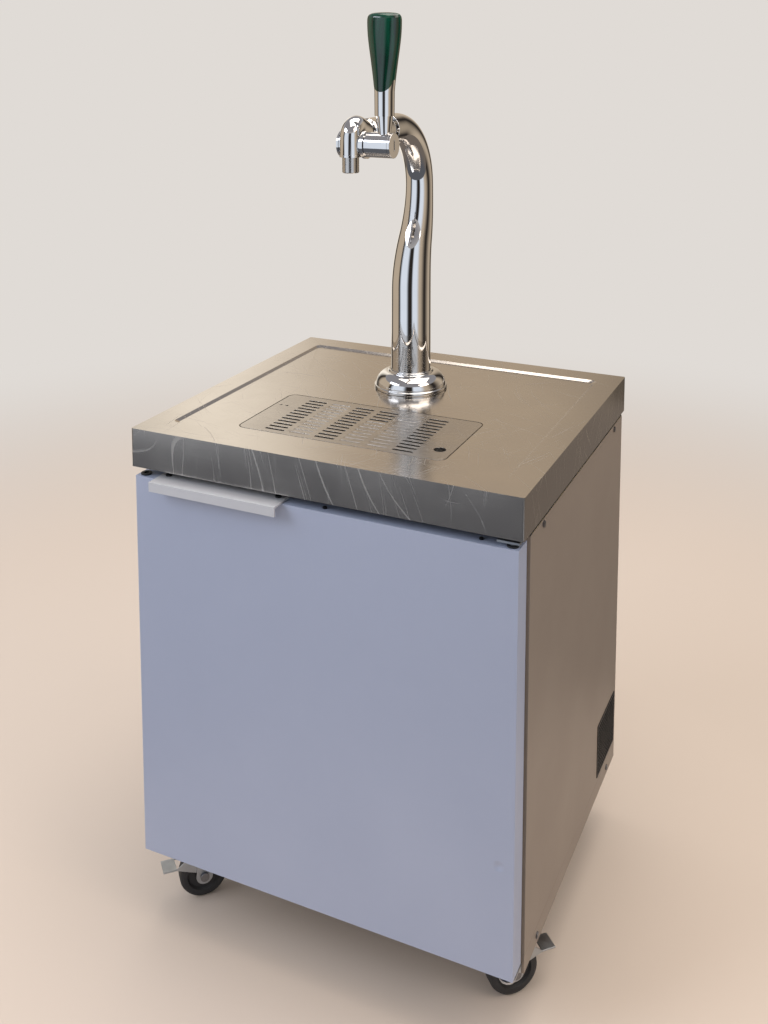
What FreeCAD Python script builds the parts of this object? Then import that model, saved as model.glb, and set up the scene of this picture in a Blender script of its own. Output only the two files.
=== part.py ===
import FreeCAD, Part
import math
import os
from types import SimpleNamespace

import Sketcher

# Driving dimensions in millimetres. A name ending in _turn is an angle in degrees,
# one ending in _count is a number of copies.
SIZES = {
    # Worktop
    "worktop_width": 600.0,
    "worktop_depth": 550.0,
    "worktop_height": 786.0,
    "apron_height": 57.5,
    "worktop_sheet": 1.5,
    "apron_lip": 14.0,
    "rim_side": 38.0,
    "rim_front": 49.0,
    "rim_rear": 41.0,
    "recess_depth": 3.0,
    "recess_slope": 5.0,
    "recess_corner": 20.0,
    "board_thickness": 18.0,
    "board_gap": 0.5,
    # Cabinet casing
    "side_inset": 3.3,
    "side_setback": 38.4,
    "side_height": 586.8,
    "panel_sheet": 1.0,
    "side_return": 12.0,
    "base_rail_height": 27.0,
    "base_rail_width": 32.0,
    "base_sheet": 2.5,
    "castor_pad": 112.0,
    "subframe_inset": 16.0,
    "subframe_rail": 20.0,
    "subframe_plate": 1.5,
    "front_frame_depth": 8.0,
    "wall_insulation": 40.0,
    "floor_insulation": 30.0,
    "roof_insulation": 45.0,
    "step_insulation": 25.0,
    "liner_sheet": 2.0,
    "bay_depth": 130.0,
    "bay_height": 150.0,
    "louvre_width": 190.0,
    "louvre_height": 5.0,
    "louvre_pitch": 12.0,
    "louvre_count": 9,
    "louvre_above_base": 24.0,
    "louvre_from_side": 176.7,
    # Side grille
    "grille_depth": 113.0,
    "grille_height": 90.0,
    "grille_rear_margin": 10.0,
    "grille_above_base": 9.0,
    "grille_frame": 4.0,
    "grille_bar": 1.6,
    "grille_proud": 1.2,
    "grille_columns_count": 14,
    "grille_rows_count": 11,
    # Drip tray
    "lid_width": 327.0,
    "lid_depth": 165.0,
    "lid_from_front": 78.5,
    "lid_offset": 4.0,
    "lid_corner": 12.0,
    "lid_sheet": 1.5,
    "tray_gap": 1.5,
    "lift_gap": 0.3,
    "tray_ledge": 10.0,
    "pan_sheet": 1.0,
    "pan_depth": 30.0,
    "pan_gap": 1.0,
    "slot_length": 31.0,
    "slot_width": 5.0,
    "slot_column_pitch": 41.0,
    "slot_row_pitch": 12.2,
    "slot_rows_count": 12,
    "slot_left_margin": 41.0,
    "slot_front_margin": 13.0,
    "finger_hole": 8.8,
    "finger_from_right": 20.0,
    "finger_from_front": 38.0,
    "groove_depth": 0.6,
    "key_hole": 2.2,
    "key_hole_pitch": 10.5,
    "key_hole_margin": 9.5,
    "key_hole_from_front": 113.0,
    # Door
    "door_inset": 6.9,
    "door_ground_gap": 123.5,
    "door_height": 592.0,
    "door_thickness": 34.0,
    "door_panel": 2.0,
    "gasket_inset": 14.0,
    "gasket_width": 12.0,
    "body_gap": 0.3,
    "hinge_from_side": 11.0,
    "hinge_from_front": 11.0,
    "hinge_pin": 4.0,
    "hinge_running_gap": 0.05,
    "hinge_pin_reach": 16.0,
    "bush_wall": 2.5,
    "bush_flange": 8.0,
    "bush_flange_thickness": 2.5,
    "bush_depth": 20.0,
    "bracket_thickness": 3.0,
    "bracket_width": 30.0,
    "bracket_nose": 11.0,
    # Door handle
    "handle_length": 208.0,
    "handle_from_left": 44.0,
    "handle_reach": 20.0,
    "handle_lip": 14.0,
    "handle_thickness": 3.0,
    "handle_seat": 26.0,
    "handle_screw_margin": 12.0,
    "screw_head": 4.5,
    "screw_head_height": 2.2,
    "screw_shank": 2.0,
    "screw_length": 9.0,
    "screw_gap": 0.2,
    "top_screw_head": 3.0,
    "top_screw_inset": 38.0,
    # Tower
    "tower_offset": 12.2,
    "tower_setback": 89.5,
    "flange_radius": 59.5,
    "flange_height": 30.0,
    "flange_edge": 5.0,
    "flange_collar": 36.5,
    "flange_collar_height": 3.0,
    "column_gap": 0.2,
    "column_base_radius": 32.4,
    "column_waist_radius": 32.1,
    "column_neck_radius": 22.6,
    "column_wall": 2.0,
    "column_straight": 160.0,
    "column_lean": 33.0,
    "column_lean_height": 167.0,
    "column_taper_end": 335.0,
    "neck_height": 431.0,
    "neck_radius": 102.0,
    "neck_reach": 95.0,
    "neck_ring_radius": 24.3,
    "neck_ring_width": 6.0,
    # Tap
    "body_length": 68.0,
    "body_radius": 21.0,
    "body_chamfer": 3.0,
    "nose_radius": 15.5,
    "nose_lift": 18.5,
    "nose_bend": 17.0,
    "nose_ahead": 50.0,
    "nose_foot_drop": 17.3,
    "nose_foot_radius": 16.2,
    "nose_foot_height": 3.0,
    "spout_radius": 12.2,
    "spout_bore": 9.5,
    "spout_length": 23.0,
    "spout_seat": 12.0,
    "valve_drop": 13.2,
    "valve_setback": 12.0,
    "valve_boss": 18.6,
    "valve_boss_length": 16.9,
    "valve_boss_proud": 0.1,
    "plug_radius": 12.0,
    "plug_gap": 0.05,
    "plug_head_radius": 19.5,
    "plug_head_length": 3.1,
    "plug_shaft_radius": 7.0,
    "valve_flange_radius": 20.5,
    "valve_flange_length": 5.0,
    "hub_radius": 18.2,
    "hub_length": 36.5,
    "cap_thickness": 4.5,
    "cap_slot_length": 15.0,
    "cap_slot_width": 3.0,
    "cap_slot_depth": 2.2,
    "beer_bore": 4.0,
    # Lever and grip
    "lever_offset": 47.8,
    "collar_radius": 12.4,
    "collar_foot_radius": 7.2,
    "stem_start": 42.2,
    "stem_radius": 14.4,
    "grip_start": 76.4,
    "grip_height": 111.3,
    "grip_width": 52.0,
    "grip_depth": 34.0,
    "grip_parting": 2.0,
    # Beer line
    "line_radius": 4.75,
    "line_bore": 3.35,
    "line_bend": 60.0,
    "line_drop": 55.0,
    "line_wall_gap": 22.0,
    "line_end_height": 300.0,
    "line_nut_radius": 15.0,
    "line_nut_length": 26.0,
    "clip_length": 16.0,
    "clip_ear": 3.0,
    "line_hole": 9.0,
    # Cooling
    "compressor_radius": 50.0,
    "compressor_height": 112.0,
    "compressor_x": 20.0,
    "compressor_foot": 12.0,
    "compressor_foot_radius": 9.0,
    "condenser_width": 42.0,
    "condenser_side": 108.0,
    "condenser_x": 180.0,
    "fin_thickness": 0.8,
    "fin_pitch": 5.4,
    "fins_count": 8,
    "condenser_tube": 4.0,
    "condenser_tubes_count": 5,
    "fan_x": 232.0,
    "fan_frame_side": 110.0,
    "fan_frame_depth": 26.0,
    "fan_bore": 50.0,
    "fan_motor_radius": 17.0,
    "fan_arm": 6.0,
    "fan_blade_radius": 47.0,
    "fan_hub_radius": 16.0,
    "fan_blade_depth": 12.0,
    "fan_blade_thickness": 1.6,
    "fan_blades_count": 5,
    "fan_shaft": 2.5,
    "fan_gap": 1.5,
    "evaporator_width": 360.0,
    "evaporator_height": 250.0,
    "evaporator_plate": 2.0,
    "evaporator_standoff": 6.0,
    "evaporator_post": 6.0,
    "evaporator_channel": 4.0,
    "evaporator_channels_count": 6,
    "thermostat_width": 22.0,
    "thermostat_depth": 70.0,
    "thermostat_height": 90.0,
    "thermostat_from_front": 70.0,
    "thermostat_from_top": 60.0,
    "knob_radius": 17.0,
    "knob_height": 13.0,
    "knob_shaft": 3.0,
    "knob_pointer": 2.0,
    "inlet_width": 48.0,
    "inlet_height": 28.0,
    "inlet_depth": 24.0,
    "inlet_wall": 3.0,
    "inlet_from_side": 86.7,
    "inlet_above_base": 20.0,
    "inlet_pin": 2.0,
    # Castors
    "castor_height": 106.0,
    "castor_inset_side": 62.0,
    "castor_inset_front": 105.0,
    "castor_inset_rear": 60.0,
    "castor_plate": 80.0,
    "castor_plate_thickness": 2.5,
    "castor_race_radius": 24.0,
    "castor_race_height": 10.0,
    "castor_kingpin": 5.0,
    "castor_crown_thickness": 3.0,
    "castor_running_gap": 0.3,
    "wheel_radius": 37.5,
    "wheel_width": 24.0,
    "wheel_tread_fillet": 5.0,
    "wheel_dish": 4.0,
    "wheel_rim": 11.0,
    "wheel_hub": 11.0,
    "wheel_trail": 20.0,
    "fork_sheet": 2.5,
    "fork_gap": 2.0,
    "fork_foot_radius": 13.0,
    "axle_radius": 4.0,
    "axle_gap": 0.05,
    "axle_head": 7.0,
    "axle_head_height": 4.0,
    "pedal_width": 21.0,
    "pedal_length": 64.0,
    "pedal_sheet": 2.5,
    "pedal_pivot": 3.0,
    "pedal_tread_drop": 29.2,
    "pedal_pivot_drop": 5.5,
    "pedal_boss_wall": 1.5,
    "pedal_lobe_ahead": 10.0,
    "pedal_lobe_lift": 6.0,
    "front_left_turn": 135.0,
    "front_right_turn": -45.0,
    "rear_left_turn": 150.0,
    "rear_right_turn": 115.0,
    # Shared
    "overrun": 4.0,
}

# Unit shapes along the grip: height, half width and half depth, each as a share of its size.
GRIP_SHAPE_SHARES = (
    (0.00, 0.565, 0.860),
    (0.20, 0.668, 0.860),
    (0.40, 0.790, 0.885),
    (0.57, 0.895, 0.945),
    (0.72, 0.970, 0.990),
    (0.88, 1.000, 0.970),
    (0.96, 0.920, 0.800),
    (1.00, 0.600, 0.360),
)
# Rows of the lid that are cut through, from the rear, for each column. The others are pressed grooves.
OPEN_ROWS_SHARES = (1.0, 0.0, 1.0, 0.34, 0.0, 1.0)
# Profile of the compressor's pot: radius and height as shares.
POT_SHAPE_SHARES = (
    (0.00, 0.00), (0.86, 0.00), (1.00, 0.08), (1.00, 0.46), (1.05, 0.47),
    (1.05, 0.51), (1.00, 0.52), (1.00, 0.80), (0.82, 0.95), (0.45, 1.00), (0.00, 1.00),
)


class Length:
    """A size that carries its number and the sheet expression behind it."""

    def __init__(self, value, text):
        self.value = value
        self.text = text

    def __float__(self):
        return float(self.value)

    def __neg__(self):
        return Length(-self.value, f"(0 - {self.text})")

    def __add__(self, other):
        other = as_length(other)
        return Length(self.value + other.value, f"({self.text} + {other.text})")

    def __sub__(self, other):
        other = as_length(other)
        return Length(self.value - other.value, f"({self.text} - {other.text})")

    def __mul__(self, other):
        other = as_length(other)
        return Length(self.value * other.value, f"({self.text} * {other.text})")

    def __truediv__(self, other):
        other = as_length(other)
        return Length(self.value / other.value, f"({self.text} / {other.text})")

    __radd__ = __add__
    __rmul__ = __mul__


def as_length(number):
    """Turns a plain number into a Length and leaves a Length as it is."""
    if isinstance(number, Length):
        return number
    text = f"{number:.9f}" if number >= 0 else f"(0 - {-number:.9f})"
    return Length(float(number), text)


document = FreeCAD.newDocument("DraughtBeerCabinet")
sheet = document.addObject("Spreadsheet::Sheet", "Sizes")
for row, (alias, value) in enumerate(SIZES.items(), start=1):
    sheet.set(f"A{row}", alias)
    sheet.set(f"B{row}", str(value))
    sheet.setAlias(f"B{row}", alias)
document.recompute()
s = SimpleNamespace(**{alias: Length(float(sheet.get(alias)), f"Sizes.{alias}") for alias in SIZES})

# The finished pieces, by the name of their node.
PIECES = {}
UP = FreeCAD.Vector(0, 0, 1)
# Turns that carry +Z onto the named direction.
TURNS = {
    "z": (FreeCAD.Vector(0, 0, 1), 0),
    "x": (FreeCAD.Vector(0, 1, 0), 90),
    "y": (FreeCAD.Vector(1, 0, 0), -90),
    "down": (FreeCAD.Vector(1, 0, 0), 180),
}


def number(name):
    """Returns a whole number of copies from the sheet."""
    return int(float(getattr(s, name)))


def point(x, y, z):
    """Returns a vector from three lengths."""
    return FreeCAD.Vector(float(x), float(y), float(z))


def place(piece, at, turn="z", yaw=None):
    """Puts a piece at three lengths, turned to a named direction or about the upright."""
    axis, angle = TURNS[turn]
    rotation = FreeCAD.Rotation(axis, angle)
    if yaw is not None:
        rotation = FreeCAD.Rotation(UP, float(yaw)).multiply(rotation)
    piece.Placement = FreeCAD.Placement(FreeCAD.Vector(), rotation)
    for letter, length in zip("xyz", at):
        piece.setExpression(f"Placement.Base.{letter}", as_length(length).text)
    return piece


def slab(name, low, high):
    """Adds a box between two corners, given as lengths."""
    pairs = [sorted((as_length(a), as_length(b)), key=float) for a, b in zip(low, high)]
    box = document.addObject("Part::Box", name)
    for side, (near, far) in zip(("Length", "Width", "Height"), pairs):
        box.setExpression(side, (far - near).text)
    return place(box, [near for near, far in pairs])


def rod(name, radius, start, length, turn="z"):
    """Adds a cylinder from a start point along a named direction."""
    cylinder = document.addObject("Part::Cylinder", name)
    cylinder.setExpression("Radius", as_length(radius).text)
    cylinder.setExpression("Height", as_length(length).text)
    return place(cylinder, start, turn)


def cone(name, radius, end_radius, start, length, turn="z"):
    """Adds a cone from a start point along a named direction."""
    piece = document.addObject("Part::Cone", name)
    piece.setExpression("Radius1", as_length(radius).text)
    piece.setExpression("Radius2", as_length(end_radius).text)
    piece.setExpression("Height", as_length(length).text)
    return place(piece, start, turn)


def fuse(name, pieces):
    """Joins pieces into one solid."""
    joined = document.addObject("Part::MultiFuse", name)
    joined.Shapes = pieces
    joined.Refine = True
    return joined


def group(name, pieces):
    """Keeps pieces together as separate solids."""
    together = document.addObject("Part::Compound", name)
    together.Links = pieces
    return together


def cut(name, base, tools):
    """Takes one or more tools out of a base."""
    tool = tools[0] if len(tools) == 1 else fuse(f"{name}_tools", tools)
    result = document.addObject("Part::Cut", name)
    result.Base = base
    result.Tool = tool
    result.Refine = True
    return result


def ring(name, low, high, wall, through):
    """Adds a box with a box-shaped hole along the axis number given by through."""
    inner_low = [as_length(a) + (-s.overrun if i == through else wall) for i, a in enumerate(low)]
    inner_high = [as_length(b) - (-s.overrun if i == through else wall) for i, b in enumerate(high)]
    return cut(name, slab(f"{name}_outer", low, high), [slab(f"{name}_inner", inner_low, inner_high)])


def rounded(name, base, radius, picks):
    """Rounds the edges of a base that a test picks."""
    document.recompute()
    result = document.addObject("Part::Fillet", name)
    result.Base = base
    size = float(radius)
    result.Edges = [(i, size, size) for i, edge in enumerate(base.Shape.Edges, start=1) if picks(edge)]
    return result


def upright(edge):
    """Tells whether an edge runs straight up."""
    ends = edge.Vertexes
    if len(ends) < 2 or edge.Curve.TypeId != "Part::GeomLine":
        return False
    run = ends[1].Point.sub(ends[0].Point)
    return abs(run.x) + abs(run.y) < abs(run.z) * 1e-6


def rounded_slab(name, low, high, radius):
    """Adds a box with rounded upright edges."""
    return rounded(name, slab(f"{name}_block", low, high), radius, upright)


def feature(name, shape):
    """Adds a piece whose shape is worked out here."""
    piece = document.addObject("Part::Feature", name)
    piece.Shape = shape
    return piece


def rectangle(low_x, low_y, high_x, high_y):
    """Returns a flat four-sided wire between two corners."""
    corners = [point(low_x, low_y, 0), point(high_x, low_y, 0), point(high_x, high_y, 0), point(low_x, high_y, 0)]
    return Part.makePolygon(corners + corners[:1])


def flat_circle(x, y, radius):
    """Returns a flat round wire."""
    return Part.Wire([Part.Circle(point(x, y, 0), UP, float(radius)).toShape()])


def rounded_rectangle(width, depth, radius):
    """Returns a flat wire with four rounded corners, its low corner at zero."""
    plate = rectangle(0, 0, width, depth)
    block = Part.Face(plate).extrude(UP)
    block = block.makeFillet(float(radius), [edge for edge in block.Edges if upright(edge)])
    return min(block.Faces, key=lambda face: face.CenterOfMass.z).OuterWire


def perforated(name, outer, holes, thickness):
    """Adds a flat sheet with holes through it."""
    face = Part.Face([outer] + holes)
    face.validate()
    return feature(name, face.extrude(FreeCAD.Vector(0, 0, float(thickness))))


def finish(node, piece):
    """Names a finished piece after its node."""
    piece.Label = node
    PIECES[node] = piece
    return piece


def origin_plane(body, role):
    """Finds one of a body's own origin planes."""
    return next(item for item in body.Origin.OriginFeatures if item.Role == role)


def outline(body, name, role, corners):
    """Draws a closed outline of straight runs whose corners are held to the sheet."""
    sketch = body.newObject("Sketcher::SketchObject", name)
    sketch.AttachmentSupport = (origin_plane(body, role), [""])
    sketch.MapMode = "FlatFace"
    ends = corners[1:] + corners[:1]
    for (x, y), (to_x, to_y) in zip(corners, ends):
        sketch.addGeometry(Part.LineSegment(point(x, y, 0), point(to_x, to_y, 0)))
    for i in range(len(corners)):
        sketch.addConstraint(Sketcher.Constraint("Coincident", i, 2, (i + 1) % len(corners), 1))
    for i, corner in enumerate(corners):
        for kind, axis, length in (("DistanceX", -2, corner[0]), ("DistanceY", -1, corner[1])):
            length = as_length(length)
            if length.value == 0:
                sketch.addConstraint(Sketcher.Constraint("PointOnObject", i, 1, axis))
                continue
            ends_of = (-1, 1, i, 1) if length.value > 0 else (i, 1, -1, 1)
            held = length if length.value > 0 else -length
            index = sketch.addConstraint(Sketcher.Constraint(kind, *ends_of, held.value))
            sketch.setExpression(f"Constraints[{index}]", held.text)
    return sketch


def turned_body(name, corners, at, turn="z"):
    """Adds a turned body from a half outline of radius and height."""
    body = document.addObject("PartDesign::Body", name)
    sketch = outline(body, f"{name}_outline", "XZ_Plane", corners)
    revolution = body.newObject("PartDesign::Revolution", f"{name}_turn")
    revolution.Profile = sketch
    revolution.ReferenceAxis = (sketch, ["V_Axis"])
    revolution.Angle = 360
    return place(body, at, turn)


def extruded_body(name, role, corners, length, at):
    """Adds an extruded body, centred on its own plane."""
    body = document.addObject("PartDesign::Body", name)
    sketch = outline(body, f"{name}_outline", role, corners)
    pad = body.newObject("PartDesign::Pad", f"{name}_pad")
    pad.Profile = sketch
    pad.Midplane = True
    pad.setExpression("Length", as_length(length).text)
    return place(body, at)


def route(points, radii):
    """Joins points by straight runs and tangent arcs, and returns the edges."""
    edges = []
    start = points[0]
    for before, corner, after, radius in zip(points, points[1:], points[2:], radii):
        incoming = corner.sub(before).normalize()
        outgoing = after.sub(corner).normalize()
        turn = incoming.getAngle(outgoing)
        reach = radius * math.tan(turn / 2)
        arc_start = corner.sub(incoming * reach)
        arc_end = corner.add(outgoing * reach)
        inward = outgoing.sub(incoming).normalize()
        middle = corner.add(inward * (radius / math.cos(turn / 2) - radius))
        if start.distanceToPoint(arc_start) > 1e-6:
            edges.append(Part.LineSegment(start, arc_start).toShape())
        edges.append(Part.Arc(arc_start, middle, arc_end).toShape())
        start = arc_end
    edges.append(Part.LineSegment(start, points[-1]).toShape())
    return edges


def tube_along(edges, radius):
    """Sweeps a round section along a chain of edges."""
    first = edges[0]
    section = Part.Circle(first.valueAt(first.FirstParameter), first.tangentAt(first.FirstParameter), radius)
    return Part.Wire(edges).makePipeShell([Part.Wire([section.toShape()])], True, False)


# Places that several pieces share
mid = s.handle_reach / 2
front = mid - s.worktop_depth / 2
rear = mid + s.worktop_depth / 2
half_width = s.worktop_width / 2
side_x = half_width - s.side_inset
inner_x = side_x - s.panel_sheet
side_front = front + s.side_setback
side_rear = rear - s.side_inset
base_low = s.castor_height
base_top = base_low + s.base_rail_height
side_top = base_top + s.side_height
apron_low = s.worktop_height - s.apron_height
deck = s.worktop_height - s.recess_depth
deck_under = deck - s.worktop_sheet
board_low = deck_under - s.board_thickness
subframe_top = side_top + s.subframe_plate
frame_back = side_front + s.panel_sheet + s.front_frame_depth
bay_front = side_rear - s.bay_depth
bay_top = base_top + s.bay_height
liner_x = side_x - s.wall_insulation
liner_back = side_rear - s.wall_insulation
liner_floor = base_top + s.floor_insulation
liner_top = side_top - s.roof_insulation
step_y = bay_front - s.step_insulation
step_z = bay_top + s.step_insulation
door_x = half_width - s.door_inset
door_low = s.door_ground_gap
door_top = door_low + s.door_height
door_back = front + s.door_thickness
hinge_x = door_x - s.hinge_from_side
hinge_y = front + s.hinge_from_front
tower_x = -s.tower_offset
tower_y = mid + s.tower_setback
lid_left = -s.lid_width / 2 - s.lid_offset
lid_right = s.lid_width / 2 - s.lid_offset
lid_front = front + s.lid_from_front
lid_rear = lid_front + s.lid_depth
step_depth = s.lift_gap * 2 + s.pan_sheet + s.lid_sheet
ledge = deck - step_depth
hole_left = lid_left + s.tray_ledge
hole_right = lid_right - s.tray_ledge
hole_front = lid_front + s.tray_ledge
hole_rear = lid_rear - s.tray_ledge
inlet_left = s.inlet_from_side - side_x
louvre_middle = side_x - s.louvre_from_side
grille_rear = side_rear - s.grille_rear_margin
grille_front = grille_rear - s.grille_depth
grille_low = base_top + s.grille_above_base
grille_top = grille_low + s.grille_height
bay_middle = (bay_front + s.panel_sheet + side_rear - s.panel_sheet * 2) / 2
neck_z = deck + s.neck_height
neck_y = tower_y + s.column_lean - s.neck_radius
ring_y = tower_y - s.neck_reach
tap_y = ring_y - s.neck_ring_width
body_front = tap_y - s.body_length
nose_y = body_front - s.nose_ahead
nose_z = neck_z + s.nose_lift
valve_y = nose_y + s.valve_setback
boss_start = tower_x - s.nose_foot_radius - s.valve_boss_proud
valve_z = neck_z - s.valve_drop
foot_z = valve_z - s.nose_foot_drop
lever_x = tower_x + s.lever_offset
hub_start = tower_x + s.valve_boss_length + s.valve_flange_length + s.body_gap
hub_end = hub_start + s.hub_length


def build_base():
    """Base frame of folded rails with castor pads and the machine shelf."""
    low = (-side_x, side_front, base_low)
    high = (side_x, side_rear, base_top)
    walls = ring("base_walls", low, high, s.base_sheet, 2)
    flange = ring("base_flange", low, (side_x, side_rear, base_low + s.base_sheet), s.base_rail_width, 2)
    parts = [walls, flange]
    for sign_x in (-1, 1):
        for near_y, far_y in ((side_front, side_front + s.castor_pad), (side_rear - s.castor_pad, side_rear)):
            parts.append(slab(
                "castor_pad",
                (side_x * sign_x, near_y, base_low),
                ((side_x - s.castor_pad) * sign_x, far_y, base_low + s.base_sheet),
            ))
    parts.append(slab(
        "machine_shelf",
        (-side_x, bay_front, base_top - s.base_sheet),
        (side_x, side_rear, base_top),
    ))
    finish("base_frame", fuse("base_frame", parts))


def build_casing():
    """Floor, side and back panels."""
    sheet_size = s.panel_sheet
    floor = slab("floor_sheet", (-inner_x, side_front + sheet_size, base_top),
                 (inner_x, bay_front + sheet_size, base_top + sheet_size))
    riser = slab("floor_riser", (-inner_x, bay_front, base_top),
                 (inner_x, bay_front + sheet_size, bay_top + sheet_size))
    roof = slab("bay_roof", (-inner_x, bay_front, bay_top),
                (inner_x, side_rear - sheet_size * 2, bay_top + sheet_size))
    finish("floor_panel", fuse("floor_panel", [floor, riser, roof]))
    for node, sign in (("left_side_panel", -1), ("right_side_panel", 1)):
        skin = slab(f"{node}_skin", (side_x * sign, side_front, base_top),
                    (inner_x * sign, side_rear, side_top))
        returns = [
            slab(f"{node}_return", (side_x * sign, near, base_top),
                 ((side_x - s.side_return) * sign, far, side_top))
            for near, far in ((side_front, side_front + sheet_size), (side_rear - sheet_size, side_rear))
        ]
        panel = fuse(f"{node}_folded", [skin] + returns)
        if sign > 0:
            window = slab(
                "grille_window",
                (inner_x - s.overrun, grille_front + s.grille_frame / 2, grille_low + s.grille_frame / 2),
                (side_x + s.overrun, grille_rear - s.grille_frame / 2, grille_top - s.grille_frame / 2),
            )
            panel = cut(f"{node}_cut", panel, [window])
        finish(node, panel)
    slots = []
    for i in range(number("louvre_count")):
        low = base_top + s.louvre_above_base + s.louvre_pitch * i
        slots.append(slab("louvre_slot",
                          (louvre_middle - s.louvre_width / 2, side_rear - s.overrun, low),
                          (louvre_middle + s.louvre_width / 2, side_rear + s.overrun, low + s.louvre_height)))
    inlet_low = base_top + s.inlet_above_base
    slots.append(slab("inlet_window",
                      (inlet_left, side_rear - s.overrun, inlet_low),
                      (inlet_left + s.inlet_width, side_rear + s.overrun, inlet_low + s.inlet_height)))
    plate = slab("back_plate", (-inner_x, side_rear - sheet_size * 2, base_top),
                 (inner_x, side_rear - sheet_size, side_top))
    finish("back_panel", cut("back_panel", plate, slots))


def build_grille():
    """Black grid that covers the window in the right side panel."""
    columns = number("grille_columns_count") + 1
    rows = number("grille_rows_count") + 1
    margin = s.grille_frame - s.grille_bar / 2
    depth_pitch = (s.grille_depth - margin * 2) / columns
    height_pitch = (s.grille_height - margin * 2) / rows
    holes = []
    for column in range(columns):
        for row_number in range(rows):
            near = margin + depth_pitch * column + s.grille_bar / 2
            low = margin + height_pitch * row_number + s.grille_bar / 2
            holes.append(rectangle(near, low, near + depth_pitch - s.grille_bar, low + height_pitch - s.grille_bar))
    mesh = perforated("side_grille", rectangle(0, 0, s.grille_depth, s.grille_height), holes, s.grille_proud)
    mesh.Placement = FreeCAD.Placement(point(side_x, grille_front, grille_low), FreeCAD.Rotation(UP, 90).multiply(
        FreeCAD.Rotation(FreeCAD.Vector(1, 0, 0), 90)))
    finish("side_grille", mesh)


def chamber(name, grow):
    """The stepped keg chamber, larger all round by a length."""
    upper = slab(f"{name}_upper", (-liner_x - grow, frame_back, step_z - grow),
                 (liner_x + grow, liner_back + grow, liner_top + grow))
    lower = slab(f"{name}_lower", (-liner_x - grow, frame_back, liner_floor - grow),
                 (liner_x + grow, step_y + grow, liner_top + grow))
    return fuse(name, [upper, lower])


def line_hole(name, low, high):
    """The drilled way for the beer line under the tower."""
    return rod(name, s.line_hole, (tower_x, tower_y, low), high - low)


def build_chamber():
    """Inner liner, foam and the frame round the door opening."""
    void = chamber("liner_void", as_length(0))
    mouth = slab("liner_mouth", (-liner_x, frame_back - s.overrun, liner_floor),
                 (liner_x, frame_back + s.overrun, liner_top))
    hole = line_hole("liner_hole", liner_top - s.overrun, side_top)
    finish("inner_liner", cut("inner_liner", chamber("liner_outside", s.liner_sheet), [void, mouth, hole]))
    block = slab("foam_block", (-inner_x, frame_back, base_top + s.panel_sheet),
                 (inner_x, side_rear - s.panel_sheet * 2, side_top))
    bay = slab("foam_bay", (-half_width, bay_front, base_low), (half_width, rear, bay_top + s.panel_sheet))
    finish("foam_insulation", cut("foam_insulation", block, [
        chamber("foam_chamber", s.liner_sheet),
        bay,
        line_hole("foam_hole", liner_top, side_top + s.overrun),
    ]))
    low = (-inner_x, side_front + s.panel_sheet, base_top + s.panel_sheet)
    high = (inner_x, frame_back, side_top)
    opening = slab("frame_opening", (-liner_x, side_front - s.overrun, liner_floor),
                   (liner_x, frame_back + s.overrun, liner_top))
    finish("front_frame", cut("front_frame", slab("front_frame_block", low, high), [opening]))


def build_top():
    """Subframe, board and pressed worktop."""
    plate = slab("subframe_plate", (-inner_x, side_front, side_top), (inner_x, side_rear, subframe_top))
    rails = ring("subframe_rails",
                 (-side_x + s.subframe_inset, side_front + s.subframe_inset, side_top),
                 (side_x - s.subframe_inset, side_rear - s.subframe_inset, board_low),
                 s.subframe_rail, 2)
    finish("worktop_subframe", cut("worktop_subframe", fuse("subframe_welded", [plate, rails]),
                                   [line_hole("subframe_hole", side_top - s.overrun, board_low)]))
    inside_x = half_width - s.worktop_sheet
    inside_front = front + s.worktop_sheet
    inside_rear = rear - s.worktop_sheet
    dish_low = (lid_left - s.tray_gap - s.worktop_sheet, lid_front - s.tray_gap - s.worktop_sheet,
                ledge - s.worktop_sheet)
    dish_high = (lid_right + s.tray_gap + s.worktop_sheet, lid_rear + s.tray_gap + s.worktop_sheet, deck)
    board = slab("board_block",
                 (-inside_x + s.board_gap, inside_front + s.board_gap, board_low),
                 (inside_x - s.board_gap, inside_rear - s.board_gap, deck_under))
    board_window = slab("board_window",
                        (dish_low[0] - s.board_gap, dish_low[1] - s.board_gap, board_low - s.overrun),
                        (dish_high[0] + s.board_gap, dish_high[1] + s.board_gap, deck))
    finish("worktop_board", cut("worktop_board", board, [
        board_window, line_hole("board_hole", board_low - s.overrun, deck)]))
    shell = cut("worktop_shell", rounded_slab(
        "worktop_block", (-half_width, front, apron_low), (half_width, rear, s.worktop_height), s.worktop_sheet * 2), [
        slab("worktop_cavity", (-inside_x, inside_front, apron_low - s.overrun),
             (inside_x, inside_rear, deck_under))])
    lip = ring("worktop_lip", (-inside_x - s.worktop_sheet / 2, inside_front - s.worktop_sheet / 2, apron_low),
               (inside_x + s.worktop_sheet / 2, inside_rear + s.worktop_sheet / 2, apron_low + s.worktop_sheet),
               s.apron_lip, 2)
    dish = rounded_slab("tray_dish", dish_low, dish_high, s.lid_corner + s.tray_gap + s.worktop_sheet)
    pressed = fuse("worktop_pressed", [shell, lip, dish])
    step = rounded_slab("tray_step", (lid_left - s.tray_gap, lid_front - s.tray_gap, ledge),
                        (lid_right + s.tray_gap, lid_rear + s.tray_gap, deck + s.overrun), s.lid_corner + s.tray_gap)
    hole = rounded_slab("tray_hole", (hole_left, hole_front, ledge - s.overrun),
                        (hole_right, hole_rear, deck), s.lid_corner)
    finish("worktop", cut("worktop", pressed, [
        recess_tool(), step, hole, line_hole("worktop_hole", deck_under - s.overrun, deck + s.overrun)]))


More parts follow.
